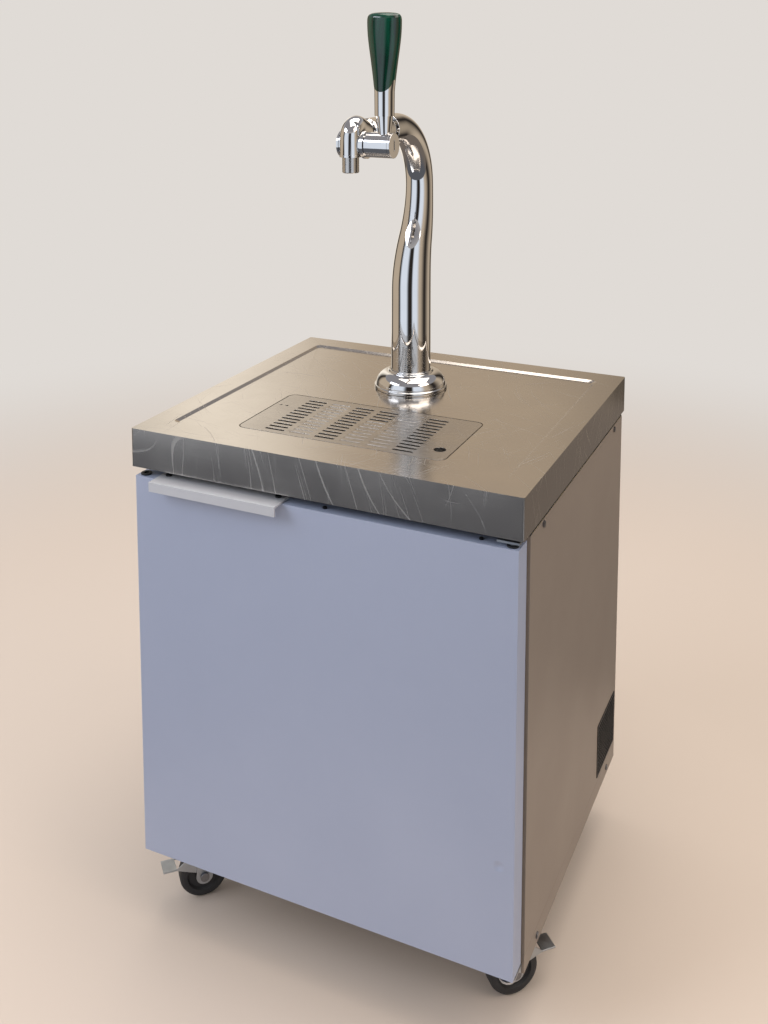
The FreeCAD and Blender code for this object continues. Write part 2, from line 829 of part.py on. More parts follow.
def recess_tool():
    """The shallow recess in the worktop, with sloping sides and rounded corners."""
    low_x = -half_width + s.rim_side
    high_x = half_width - s.rim_side
    low_y = front + s.rim_front
    high_y = rear - s.rim_rear
    # The slope carries on above the surface, so that the tool's top lies clear of it.
    spread = s.recess_slope
    rise = s.recess_depth
    wedge = document.addObject("Part::Wedge", "recess_wedge")
    bounds = {
        "Xmin": low_x + spread, "Xmax": high_x - spread, "X2min": low_x - spread, "X2max": high_x + spread,
        "Zmin": -high_y + spread, "Zmax": -low_y - spread, "Z2min": -high_y - spread, "Z2max": -low_y + spread,
        "Ymin": as_length(0), "Ymax": rise * 2,
    }
    for name, length in bounds.items():
        wedge.setExpression(name, length.text)
    wedge.Placement = FreeCAD.Placement(FreeCAD.Vector(), FreeCAD.Rotation(FreeCAD.Vector(1, 0, 0), 90))
    wedge.setExpression("Placement.Base.z", deck.text)

    def slanted(edge):
        run = edge.Vertexes[1].Point.sub(edge.Vertexes[0].Point)
        return abs(run.z) > float(rise)

    return rounded("recess", wedge, s.recess_corner, slanted)


def build_tray():
    """Lift-out pan and its slotted lid."""
    flange_low = ledge + s.lift_gap
    flange = rounded_slab("pan_flange", (lid_left, lid_front, flange_low),
                          (lid_right, lid_rear, flange_low + s.pan_sheet), s.lid_corner)
    tub_corner = s.lid_corner - s.pan_gap
    tub = rounded_slab("pan_tub", (hole_left + s.pan_gap, hole_front + s.pan_gap, flange_low - s.pan_depth),
                       (hole_right - s.pan_gap, hole_rear - s.pan_gap, flange_low + s.pan_sheet), tub_corner)
    inside = s.pan_gap + s.pan_sheet
    void = rounded_slab(
        "pan_void",
        (hole_left + inside, hole_front + inside, flange_low - s.pan_depth + s.pan_sheet),
        (hole_right - inside, hole_rear - inside, flange_low + s.overrun), tub_corner - s.pan_sheet)
    finish("tray_pan", cut("tray_pan", fuse("pan_pressed", [flange, tub]), [void]))
    lid_low = flange_low + s.pan_sheet + s.lift_gap
    rows = number("slot_rows_count")
    slots = []
    open_slots = []
    for column, share in enumerate(OPEN_ROWS_SHARES):
        for line in range(rows):
            x = s.slot_left_margin + s.slot_column_pitch * column
            y = s.slot_front_margin + s.slot_row_pitch * line
            slot = rectangle(x, y - s.slot_width / 2, x + s.slot_length, y + s.slot_width / 2)
            slots.append(slot)
            if line >= rows - round(rows * share):
                open_slots.append(slot)
    holes = [flat_circle(s.lid_width - s.finger_from_right, s.finger_from_front, s.finger_hole)]
    for i in range(2):
        holes.append(flat_circle(s.key_hole_margin + s.key_hole_pitch * i, s.key_hole_from_front, s.key_hole))
    outer = rounded_rectangle(s.lid_width, s.lid_depth, s.lid_corner)
    thickness = deck - lid_low
    lower = perforated("lid_lower", outer, open_slots + holes, thickness - s.groove_depth)
    upper = perforated("lid_upper", outer, slots + holes, s.groove_depth)
    place(lower, (lid_left, lid_front, lid_low))
    place(upper, (lid_left, lid_front, lid_low + thickness - s.groove_depth))
    finish("tray_lid", fuse("tray_lid", [lower, upper]))


def door_corners():
    """The four hinge places of the door: x and whether it is the top one."""
    return [(hinge_x * sign, top) for sign in (-1, 1) for top in (False, True)]


def bush_tools(name):
    """Clearance for the bushes in the door's skin and foam."""
    radius = s.hinge_pin + s.hinge_running_gap + s.bush_wall
    return [
        rod(name, radius, (x, hinge_y, door_top - s.bush_depth if top else door_low - s.overrun),
            s.bush_depth + s.overrun)
        for x, top in door_corners()
    ]


def top_screw_places():
    """Screws on the door's top edge: two hold the handle, two hold the panel."""
    left = -door_x + s.handle_from_left - s.door_inset
    handle_left = left + s.handle_screw_margin
    handle_right = left + s.handle_length - s.handle_screw_margin
    seat_y = front + s.handle_seat / 2
    lift = door_top + s.handle_thickness
    return [
        (handle_left, seat_y, lift, s.screw_head),
        (handle_right, seat_y, lift, s.screw_head),
        (as_length(0) + s.top_screw_inset / 3, seat_y, door_top, s.top_screw_head),
        (door_x - s.top_screw_inset - s.bush_flange * 2, seat_y, door_top, s.top_screw_head),
    ]


def build_door():
    """Door skin, foam, inner panel, gasket, handle, screws and bushes."""
    screws = []
    shank_holes = []
    for x, y, z, head in top_screw_places():
        low = z - s.screw_length
        hole = rod("screw_hole", s.screw_shank + s.screw_gap, (x, y, low), s.screw_length + s.overrun)
        shank_holes.append(hole)
        shank = rod("screw_shank", s.screw_shank, (x, y, low), s.screw_length)
        screws.append(fuse("screw", [shank, rod("screw_top", head, (x, y, z), s.screw_head_height)]))
    finish("door_screws", group("door_screws", screws))
    skin = s.panel_sheet
    shell = cut("door_shell", slab("door_block", (-door_x, front, door_low), (door_x, door_back, door_top)), [
        slab("door_hollow", (-door_x + skin, front + skin, door_low + skin),
             (door_x - skin, door_back + s.overrun, door_top - skin))])
    finish("door_skin", cut("door_skin", shell, bush_tools("skin_bush_hole") + shank_holes))
    foam = slab("door_core", (-door_x + skin, front + skin, door_low + skin),
                (door_x - skin, door_back - s.door_panel, door_top - skin))
    finish("door_foam", cut("door_foam", foam, bush_tools("foam_bush_hole") + shank_holes))
    finish("door_inner_panel", slab("door_inner_panel", (-door_x + skin, door_back - s.door_panel, door_low + skin),
                                    (door_x - skin, door_back, door_top - skin)))
    finish("door_gasket", ring(
        "door_gasket",
        (-door_x + s.gasket_inset, door_back, door_low + s.gasket_inset),
        (door_x - s.gasket_inset, side_front + skin - s.body_gap, door_top - s.gasket_inset),
        s.gasket_width, 1))
    handle_left = -door_x + s.handle_from_left - s.door_inset
    thick = s.handle_thickness
    profile = [
        (-s.handle_reach, thick),
        (s.handle_seat, thick),
        (s.handle_seat, as_length(0)),
        (thick - s.handle_reach, as_length(0)),
        (thick - s.handle_reach, thick - s.handle_lip),
        (-s.handle_reach, thick - s.handle_lip),
    ]
    bar = extruded_body("handle_bar", "YZ_Plane", profile, s.handle_length,
                        (handle_left + s.handle_length / 2, front, door_top))
    finish("door_handle", cut("door_handle", bar, shank_holes[:2]))
    build_hinges()


def build_hinges():
    """Bushes in the door, pins and brackets on the cabinet."""
    bore = s.hinge_pin + s.hinge_running_gap
    bushes = []
    for x, top in door_corners():
        corners = [
            (bore, as_length(0) - s.bush_flange_thickness),
            (s.bush_flange, as_length(0) - s.bush_flange_thickness),
            (s.bush_flange, as_length(0)),
            (bore + s.bush_wall, as_length(0)),
            (bore + s.bush_wall, s.bush_depth),
            (bore, s.bush_depth),
        ]
        at = (x, hinge_y, door_top if top else door_low)
        bushes.append(turned_body("hinge_bush", corners, at, "down" if top else "z"))
    finish("hinge_bushes", group("hinge_bushes", bushes))
    upper_z = subframe_top
    lower_z = door_low - s.bush_flange_thickness - s.body_gap - s.bracket_thickness
    reach_front = hinge_y - s.bush_flange
    left = door_x - s.bracket_width
    upper = slab("upper_bracket", (left, reach_front, upper_z),
                 (door_x, side_front + s.subframe_inset, upper_z + s.bracket_thickness))
    tongue = slab("lower_tongue", (left, hinge_y, lower_z), (door_x, side_front, lower_z + s.bracket_thickness))
    nose = rod("lower_nose", s.bracket_nose, (hinge_x, hinge_y, lower_z), s.bracket_thickness)
    back = slab("lower_back", (left, side_front - s.bracket_thickness, base_low + s.base_sheet),
                (door_x, side_front, lower_z + s.bracket_thickness))
    lower = fuse("lower_bracket", [tongue, nose, back])
    lower_top = lower_z + s.bracket_thickness
    pins = [
        rod("upper_pin", s.hinge_pin, (hinge_x, hinge_y, door_top - s.hinge_pin_reach), upper_z - door_top
            + s.hinge_pin_reach),
        rod("lower_pin", s.hinge_pin, (hinge_x, hinge_y, lower_top), door_low + s.hinge_pin_reach - lower_top),
    ]
    finish("hinge_brackets", group("hinge_brackets", [upper, lower]))
    finish("hinge_pins", group("hinge_pins", pins))


def column_path():
    """The tower's centre line from the worktop to the neck ring, in the tower's own plane."""
    lean = float(s.column_lean)
    lean_height = float(s.column_lean_height)
    bend = (lean_height ** 2 + lean ** 2) / (4 * lean)
    turn = math.asin(lean_height / (2 * bend))
    reach = bend * math.tan(turn / 2)
    low_corner = deck + s.column_straight + reach
    high_corner = deck + s.column_straight + s.column_lean_height - reach
    points = [
        point(tower_x, tower_y, deck),
        point(tower_x, tower_y, low_corner),
        point(tower_x, tower_y + s.column_lean, high_corner),
        point(tower_x, tower_y + s.column_lean, neck_z),
        point(tower_x, ring_y, neck_z),
    ]
    # The arcs stop just short of each other, so that a short straight run joins them.
    easy = bend * 0.98
    return points, [easy, easy, float(s.neck_radius)]


def column_radius(height):
    """The column's outer radius at a height over the worktop."""
    straight = float(s.column_straight)
    end = float(s.column_taper_end)
    base, waist, neck = (float(r) for r in (s.column_base_radius, s.column_waist_radius, s.column_neck_radius))
    if height <= straight:
        return base + (waist - base) * height / straight
    share = min(1, (height - straight) / (end - straight))
    eased = share * share * (3 - 2 * share)
    return waist + (neck - waist) * eased


def upright_circle(centre, along, radius):
    """A round section across a direction in the tower's own plane."""
    side = FreeCAD.Vector(1, 0, 0)
    ahead = along.cross(side)
    frame = FreeCAD.Matrix()
    for number_of_row, axis in enumerate(("x", "y", "z"), start=1):
        for number_of_column, vector in enumerate((side, ahead, along, centre), start=1):
            setattr(frame, f"A{number_of_row}{number_of_column}", getattr(vector, axis))
    circle = Part.Circle(FreeCAD.Vector(), UP, radius).toShape()
    circle.transformShape(frame)
    return Part.Wire([circle])


def column_solid(shrink, overrun=0.0):
    """The column as a cone, a leaning taper, a straight neck, a bend and a short level run."""
    lean = float(s.column_lean)
    lean_height = float(s.column_lean_height)
    bend = (lean_height ** 2 + lean ** 2) / (4 * lean)
    turn = math.asin(lean_height / 2 / bend)
    foot = point(tower_x, tower_y, deck)
    low = point(tower_x, tower_y, deck + s.column_straight)
    high = point(tower_x, tower_y + s.column_lean, deck + s.column_straight + s.column_lean_height)
    steps = 6
    sections = []
    for i in range(steps + 1):
        angle = turn * i / steps
        along = FreeCAD.Vector(0, math.sin(angle), math.cos(angle))
        sections.append((low.add(FreeCAD.Vector(0, bend - bend * along.z, bend * along.y)), along))
    for i in range(steps - 1, -1, -1):
        angle = turn * i / steps
        along = FreeCAD.Vector(0, math.sin(angle), math.cos(angle))
        sections.append((high.sub(FreeCAD.Vector(0, bend - bend * along.z, bend * along.y)), along))
    wires = [upright_circle(at, along, column_radius(at.z - float(deck)) - shrink) for at, along in sections]
    base = column_radius(0) - shrink
    waist = column_radius(float(s.column_straight)) - shrink
    neck = column_radius(float(s.column_taper_end)) - shrink
    crook = float(s.neck_radius)
    crook_low = point(tower_x, tower_y + s.column_lean, neck_z - s.neck_radius)
    crook_centre = point(tower_x, neck_y, neck_z - s.neck_radius)
    crook_end = point(tower_x, neck_y, neck_z)
    section = Part.Face(upright_circle(crook_low, UP, neck))
    pieces = [
        Part.makeCone(base, waist, float(s.column_straight), foot),
        Part.makeLoft(wires, True, False),
        Part.makeCylinder(neck, crook_low.z - high.z, high),
        section.revolve(crook_centre, FreeCAD.Vector(1, 0, 0), 90),
        Part.makeCylinder(neck, float(neck_y - ring_y) + overrun, crook_end, FreeCAD.Vector(0, -1, 0)),
    ]
    if overrun:
        pieces.append(Part.makeCylinder(base, overrun, foot.sub(UP * overrun)))
    return pieces[0].multiFuse(pieces[1:]).removeSplitter()


def build_tower():
    """Domed flange, swan-neck column and the ring at its end."""
    rim = s.flange_radius
    inner = s.column_base_radius + s.column_gap
    edge = s.flange_edge
    shoulder = s.flange_height - s.flange_collar_height
    dome_start = point(rim - edge / 2, 0, edge)
    dome_end = point(s.flange_collar, 0, shoulder)
    chord = dome_end.sub(dome_start)
    bulge = FreeCAD.Vector(-chord.z, 0, chord.x).normalize() * (-chord.Length / 5)
    dome_middle = dome_start.add(chord * 0.5).add(bulge)
    corners = [point(inner, 0, 0), point(rim, 0, 0), point(rim, 0, edge), dome_start]
    rest = [dome_end, point(s.flange_collar, 0, s.flange_height), point(inner, 0, s.flange_height),
            point(inner, 0, 0)]
    edges = [Part.LineSegment(a, b).toShape() for a, b in zip(corners, corners[1:])]
    edges.append(Part.Arc(dome_start, dome_middle, dome_end).toShape())
    edges += [Part.LineSegment(a, b).toShape() for a, b in zip(rest, rest[1:])]
    flange = feature("tower_flange", Part.Face(Part.Wire(edges)).revolve(FreeCAD.Vector(), UP, 360))
    finish("tower_flange", place(flange, (tower_x, tower_y, deck)))
    outside = column_solid(0)
    inside = column_solid(float(s.column_wall), float(s.column_wall))
    finish("tower_column", feature("tower_column", outside.cut(inside)))
    bore = s.line_radius + s.column_gap
    disc = rod("neck_ring_disc", s.neck_ring_radius, (tower_x, tap_y, neck_z), s.neck_ring_width, "y")
    hole = rod("neck_ring_bore", bore, (tower_x, tap_y - s.overrun, neck_z), s.neck_ring_width + s.overrun * 2, "y")
    finish("neck_ring", cut("neck_ring", disc, [hole]))


def build_tap():
    """Tap body with its nose, the spout and the valve plug across it."""
    barrel = rod("tap_barrel", s.body_radius, (tower_x, body_front + s.body_chamfer, neck_z),
                 s.body_length - s.body_chamfer, "y")
    nose_cone = cone("tap_front", s.body_radius - s.body_chamfer, s.body_radius, (tower_x, body_front, neck_z),
                     s.body_chamfer, "y")
    path = [
        point(tower_x, body_front + s.body_chamfer * 2, neck_z),
        point(tower_x, nose_y, nose_z),
        point(tower_x, nose_y, foot_z),
    ]
    nose = feature("tap_nose", tube_along(route(path, [float(s.nose_bend)]), float(s.nose_radius)))
    foot = rod("tap_foot", s.nose_foot_radius, (tower_x, nose_y, foot_z), s.nose_foot_height)
    boss = rod("valve_boss", s.valve_boss, (boss_start, valve_y, valve_z),
               tower_x + s.valve_boss_length - boss_start, "x")
    flange = rod("valve_flange", s.valve_flange_radius, (tower_x + s.valve_boss_length, valve_y, valve_z),
                 s.valve_flange_length, "x")
    solid = fuse("tap_casting", [barrel, nose_cone, nose, foot, boss, flange])
    bores = [
        rod("plug_bore", s.plug_radius + s.plug_gap, (boss_start - s.overrun, valve_y, valve_z),
            hub_start - boss_start + s.overrun * 2, "x"),
        rod("line_socket", s.line_radius + s.column_gap, (tower_x, tap_y - s.body_length / 2, neck_z),
            s.body_length / 2 + s.overrun, "y"),
        rod("body_bore", s.beer_bore, (tower_x, valve_y, neck_z),
            s.nose_ahead - s.valve_setback + s.body_length / 2 + s.overrun, "y"),
        rod("spout_socket", s.spout_bore + s.column_gap, (tower_x, nose_y, foot_z - s.overrun), s.spout_seat
            - s.spout_seat / 4 + s.overrun),
        rod("outlet_bore", s.beer_bore, (tower_x, nose_y, foot_z), s.nose_foot_drop + s.beer_bore),
        rod("spout_seat_face", s.spout_radius + s.column_gap, (tower_x, nose_y, foot_z - s.valve_boss), s.valve_boss),
    ]
    finish("tap_body", cut("tap_body", solid, bores))
    tail = s.spout_seat / 3
    corners = [
        (s.beer_bore * 2, as_length(0) - s.spout_length),
        (s.spout_radius - s.column_wall / 2, as_length(0) - s.spout_length),
        (s.spout_radius, as_length(0) - s.spout_length + s.column_wall / 2),
        (s.spout_radius, as_length(0)),
        (s.spout_bore, as_length(0)),
        (s.spout_bore, tail),
        (s.beer_bore * 2, tail),
    ]
    finish("tap_spout", turned_body("tap_spout", corners, (tower_x, nose_y, foot_z)))
    core_start = boss_start - s.body_gap
    head = rod("plug_head", s.plug_head_radius, (core_start - s.plug_head_length, valve_y, valve_z),
               s.plug_head_length, "x")
    core = rod("plug_core", s.plug_radius, (core_start, valve_y, valve_z), hub_start - core_start, "x")
    shaft = rod("plug_shaft", s.plug_shaft_radius, (hub_start, valve_y, valve_z), s.hub_length, "x")
    way = rod("plug_way", s.beer_bore, (tower_x, valve_y - s.plug_radius - s.overrun, valve_z),
              (s.plug_radius + s.overrun) * 2, "y")
    finish("valve_plug", cut("valve_plug", fuse("plug_turned", [head, core, shaft]), [way]))


def grip_blank():
    """The lever's upper end with its swelling, as one skin through ellipses."""
    wires = []
    base = valve_z + s.stem_start
    grip_low = valve_z + s.grip_start
    stations = [(float(base), float(s.stem_radius), float(s.stem_radius))]
    for height_share, width_share, depth_share in GRIP_SHAPE_SHARES:
        stations.append((
            float(grip_low) + float(s.grip_height) * height_share,
            float(s.grip_width) / 2 * width_share,
            float(s.grip_depth) / 2 * depth_share,
        ))
    unit = Part.Circle(FreeCAD.Vector(), UP, 1).toShape()
    for z, half_x, half_y in stations:
        frame = FreeCAD.Matrix()
        frame.A11 = half_x
        frame.A22 = half_y
        frame.A14 = float(lever_x)
        frame.A24 = float(valve_y)
        frame.A34 = z
        wires.append(Part.Wire([unit.transformGeometry(frame).Edges[0]]))
    return Part.makeLoft(wires, True, False)


def grip_cutter():
    """The U-shaped front field of the lever that the grip lens fills."""
    low = valve_z + s.grip_start
    half = s.grip_width / 2 * GRIP_SHAPE_SHARES[0][1]
    parting = valve_y + s.grip_parting
    wide = s.grip_width
    corner_z = low + half
    high = low + s.grip_height + s.overrun
    run = [
        point(lever_x - half, parting, corner_z),
        point(lever_x - wide, parting, low + s.grip_height / 2),
        point(lever_x - wide, parting, high),
        point(lever_x + wide, parting, high),
        point(lever_x + wide, parting, low + s.grip_height / 2),
        point(lever_x + half, parting, corner_z),
    ]
    edges = [Part.LineSegment(a, b).toShape() for a, b in zip(run, run[1:])]
    edges.append(Part.Arc(run[-1], point(lever_x, parting, low), run[0]).toShape())
    face = Part.Face(Part.Wire(edges))
    return face.extrude(FreeCAD.Vector(0, -float(s.grip_depth), 0))


def build_lever():
    """Hub, slotted end cap, chrome lever and the grip lens."""
    hub = rod("hub_barrel", s.hub_radius, (hub_start, valve_y, valve_z), s.hub_length, "x")
    collar = cone("hub_collar", s.collar_foot_radius, s.collar_radius, (lever_x, valve_y, valve_z), s.stem_start)
    shaft_hole = rod("hub_bore", s.plug_shaft_radius, (hub_start - s.overrun, valve_y, valve_z),
                     s.hub_length + s.overrun * 2, "x")
    finish("lever_hub", cut("lever_hub", fuse("hub_cast", [hub, collar]), [shaft_hole]))
    cap = rod("cap_disc", s.hub_radius, (hub_end, valve_y, valve_z), s.cap_thickness, "x")
    slot = slab("cap_slot",
                (hub_end + s.cap_thickness - s.cap_slot_depth, valve_y - s.cap_slot_width / 2,
                 valve_z - s.cap_slot_length / 2),
                (hub_end + s.cap_thickness + s.overrun, valve_y + s.cap_slot_width / 2,
                 valve_z + s.cap_slot_length / 2))
    finish("hub_end_cap", cut("hub_end_cap", cap, [slot]))
    blank = grip_blank()
    cutter = grip_cutter()
    finish("lever_stem", feature("lever_stem", blank.cut(cutter)))
    finish("grip_lens", feature("grip_lens", blank.common(cutter)))


def build_beer_line():
    """Hose from the tap down the tower and along the chamber's left wall to its parked nut."""
    column_points, column_radii = column_path()
    roof = liner_top - s.line_drop
    wall_x = -liner_x + s.line_wall_gap
    end_z = liner_floor + s.line_end_height
    points = [
        point(tower_x, tap_y - s.body_length / 2, neck_z),
        point(tower_x, tower_y + s.column_lean, neck_z),
        column_points[2],
        column_points[1],
        point(tower_x, tower_y, roof),
        point(wall_x, tower_y, roof),
        point(wall_x, tower_y, end_z),
    ]
    radii = [column_radii[2], column_radii[1], column_radii[0], float(s.line_bend), float(s.line_bend)]
    edges = route(points, radii)
    hose = tube_along(edges, float(s.line_radius)).cut(tube_along(edges, float(s.line_bore)))
    length = sum(edge.Length for edge in edges)
    ring_area = math.pi * (float(s.line_radius) ** 2 - float(s.line_bore) ** 2)
    print("beer line length", round(length, 1), "volume share", round(hose.Volume / (length * ring_area), 4),
          "radii", [round(r, 1) for r in radii])
    finish("beer_line", feature("beer_line", hose))
    hex_nut = document.addObject("Part::Prism", "line_nut_hex")
    hex_nut.Polygon = 6
    hex_nut.setExpression("Circumradius", s.line_nut_radius.text)
    hex_nut.setExpression("Height", s.line_nut_length.text)
    place(hex_nut, (wall_x, tower_y, end_z - s.line_nut_length))
    socket = rod("line_nut_bore", s.line_radius, (wall_x, tower_y, end_z - s.line_nut_length - s.overrun),
                 s.line_nut_length + s.overrun * 2)
    finish("line_end_nut", cut("line_end_nut", hex_nut, [socket]))
    clips = []
    for low in (end_z + s.clip_length, roof - s.line_bend * 2):
        saddle = slab("clip_saddle", (-liner_x, tower_y - s.line_radius - s.clip_ear, low),
                      (wall_x + s.line_radius + s.clip_ear, tower_y + s.line_radius + s.clip_ear,
                       low + s.clip_length))
        way = rod("clip_way", s.line_radius, (wall_x, tower_y, low - s.overrun), s.clip_length + s.overrun * 2)
        clips.append(cut("line_clip", saddle, [way]))
    finish("line_clips", group("line_clips", clips))


def build_cooling():
    """Compressor, condenser, fan, evaporator, thermostat and power inlet."""
    floor = base_top
    foot_top = floor + s.compressor_foot
    pot_height = s.compressor_height - s.compressor_foot
    profile = [(s.compressor_radius * r, pot_height * h) for r, h in POT_SHAPE_SHARES]
    pot = turned_body("compressor_pot", profile, (s.compressor_x, bay_middle, foot_top))
    feet = []
    for sign_x in (-1, 1):
        for sign_y in (-1, 1):
            feet.append(rod("compressor_foot", s.compressor_foot_radius, (
                s.compressor_x + s.compressor_radius * 0.7 * sign_x,
                bay_middle + s.compressor_radius * 0.7 * sign_y, floor), s.compressor_foot + s.overrun))
    finish("compressor", fuse("compressor", [pot] + feet))
    half = s.condenser_side / 2
    low_z = floor + s.grille_above_base
    fins = []
    for i in range(number("fins_count")):
        x = s.condenser_x - s.condenser_width / 2 + s.fin_pitch * i
        fins.append(slab("condenser_fin", (x, bay_middle - half, low_z),
                         (x + s.fin_thickness, bay_middle + half, low_z + s.condenser_side)))
    tube_pitch = s.condenser_side / number("condenser_tubes_count")
    for i in range(number("condenser_tubes_count")):
        fins.append(rod("condenser_tube", s.condenser_tube,
                        (s.condenser_x - s.condenser_width / 2 - s.overrun, bay_middle,
                         low_z + tube_pitch * (i + 0.5)), s.condenser_width + s.overrun, "x"))
    fins.append(slab("condenser_foot", (s.condenser_x - s.condenser_width / 2, bay_middle - half, floor),
                     (s.condenser_x + s.condenser_width / 2 - s.fin_pitch, bay_middle + half, low_z)))
    finish("condenser", fuse("condenser", fins))
    build_fan(low_z)
    build_evaporator()
    build_thermostat()
    build_inlet()


def build_fan(low_z):
    """Square fan frame with its motor, and the fan that turns on it."""
    half = s.fan_frame_side / 2
    centre_z = low_z + half
    shroud = cut("fan_shroud", slab("fan_square", (s.fan_x, bay_middle - half, base_top),
                                    (s.fan_x + s.fan_frame_depth, bay_middle + half, centre_z + half)), [
        rod("fan_opening", s.fan_bore, (s.fan_x - s.overrun, bay_middle, centre_z),
            s.fan_frame_depth + s.overrun * 2, "x")])
    motor_length = s.fan_frame_depth / 3
    arms = [
        slab("fan_arm_level", (s.fan_x, bay_middle - s.fan_bore - s.overrun / 2, centre_z - s.fan_arm / 2),
             (s.fan_x + s.fan_arm / 2, bay_middle + s.fan_bore + s.overrun / 2, centre_z + s.fan_arm / 2)),
        slab("fan_arm_upright", (s.fan_x, bay_middle - s.fan_arm / 2, centre_z - s.fan_bore - s.overrun / 2),
             (s.fan_x + s.fan_arm / 2, bay_middle + s.fan_arm / 2, centre_z + s.fan_bore + s.overrun / 2)),
    ]
    motor = rod("fan_motor", s.fan_motor_radius, (s.fan_x, bay_middle, centre_z), motor_length, "x")
    shaft = rod("fan_shaft", s.fan_shaft, (s.fan_x, bay_middle, centre_z),
                motor_length + s.fan_gap + s.fan_blade_depth / 2, "x")
    finish("fan_frame", fuse("fan_frame", [shroud] + arms + [motor, shaft]))
    blade_x = s.fan_x + motor_length + s.fan_gap
    hub = rod("fan_hub", s.fan_hub_radius, (blade_x, bay_middle, centre_z), s.fan_blade_depth, "x")
    blades = []
    count = number("fan_blades_count")
    for i in range(count):
        blade = Part.makeBox(float(s.fan_blade_thickness), float(s.fan_blade_depth),
                             float(s.fan_blade_radius - s.fan_hub_radius / 2))
        blade.translate(point(-s.fan_blade_thickness / 2, -s.fan_blade_depth / 2, s.fan_hub_radius / 2))
        blade.rotate(FreeCAD.Vector(), UP, 55)
        blade.rotate(FreeCAD.Vector(), FreeCAD.Vector(1, 0, 0), 360 * i / count)
        blades.append(blade)
    rotor = blades[0].multiFuse(blades[1:])
    limit = Part.makeCylinder(float(s.fan_blade_radius), float(s.fan_blade_depth), FreeCAD.Vector(),
                              FreeCAD.Vector(1, 0, 0))
    limit.translate(point(-s.fan_blade_depth / 2, 0, 0))
    wings = place(feature("fan_wings", rotor.common(limit)), (blade_x + s.fan_blade_depth / 2, bay_middle, centre_z))
    bore = rod("fan_hub_bore", s.fan_shaft + s.axle_gap, (blade_x - s.overrun, bay_middle, centre_z),
               s.fan_blade_depth / 2 + s.overrun + s.body_gap, "x")
    finish("fan_blades", cut("fan_blades", fuse("fan_rotor", [hub, wings]), [bore]))


def build_evaporator():
    """Cold plate on posts in front of the chamber's rear wall."""
    plate_back = liner_back - s.evaporator_standoff
    plate_front = plate_back - s.evaporator_plate
    half = s.evaporator_width / 2
    low = step_z + s.evaporator_post * 4
    high = low + s.evaporator_height
    parts = [slab("evaporator_sheet", (-half, plate_front, low), (half, plate_back, high))]
    for sign in (-1, 1):
        for z in (low + s.evaporator_post * 3, high - s.evaporator_post * 3):
            parts.append(rod("evaporator_post", s.evaporator_post,
                             (half * 0.8 * sign, plate_front, z), s.evaporator_standoff + s.evaporator_plate, "y"))
    pitch = s.evaporator_height / (number("evaporator_channels_count") + 1)
    for i in range(1, number("evaporator_channels_count") + 1):
        parts.append(rod("evaporator_channel", s.evaporator_channel,
                         (-half * 0.9, plate_front, low + pitch * i), s.evaporator_width * 0.9, "x"))
    finish("evaporator_plate", fuse("evaporator_plate", parts))


def build_thermostat():
    """Thermostat box on the chamber's right wall and its knob."""
    wall = liner_x
    near = frame_back + s.thermostat_from_front
    high = liner_top - s.thermostat_from_top
    box = slab("thermostat_box", (wall - s.thermostat_width, near, high - s.thermostat_height),
               (wall, near + s.thermostat_depth, high))
    knob_y = near + s.thermostat_depth / 2
    knob_z = high - s.thermostat_height / 2
    shaft_end = wall - s.thermostat_width - s.knob_height * 0.7
    shaft = rod("thermostat_shaft", s.knob_shaft, (shaft_end, knob_y, knob_z), s.knob_height, "x")
    finish("thermostat_housing", fuse("thermostat_housing", [box, shaft]))
    face = wall - s.thermostat_width - s.body_gap
    disc = rod("knob_disc", s.knob_radius, (face - s.knob_height, knob_y, knob_z), s.knob_height, "x")
    bore = rod("knob_bore", s.knob_shaft + s.axle_gap, (shaft_end - s.body_gap, knob_y, knob_z), s.knob_height, "x")
    pointer = slab("knob_pointer",
                   (face - s.knob_height - s.knob_pointer, knob_y - s.knob_pointer / 2, knob_z - s.knob_pointer),
                   (face - s.knob_height + s.knob_pointer, knob_y + s.knob_pointer / 2, knob_z + s.knob_radius))
    finish("thermostat_knob", cut("thermostat_knob", fuse("knob_moulded", [disc, pointer]), [bore]))


def build_inlet():
    """Three-pin power inlet in the back panel."""
    low = base_top + s.inlet_above_base
    left = inlet_left
    right = left + s.inlet_width
    face = side_rear
    block = slab("inlet_block", (left, face - s.inlet_depth, low), (right, face, low + s.inlet_height))
    socket = slab("inlet_socket", (left + s.inlet_wall, face - s.inlet_depth + s.inlet_wall, low + s.inlet_wall),
                  (right - s.inlet_wall, face + s.overrun, low + s.inlet_height - s.inlet_wall))
    pins = []
    for i in (-1, 0, 1):
        pins.append(rod("inlet_pin", s.inlet_pin,
                        ((left + right) / 2 + s.inlet_width / 4 * i, face - s.inlet_depth + s.inlet_wall / 2,
                         low + s.inlet_height / 2), s.inlet_depth * 0.7, "y"))
    finish("power_inlet", fuse("power_inlet", [cut("inlet_shell", block, [socket])] + pins))


def yawed(piece, x, y, yaw):
    """Puts a castor piece at its place, turned about its kingpin."""
    return place(piece, (x, y, as_length(0)), "z", yaw)


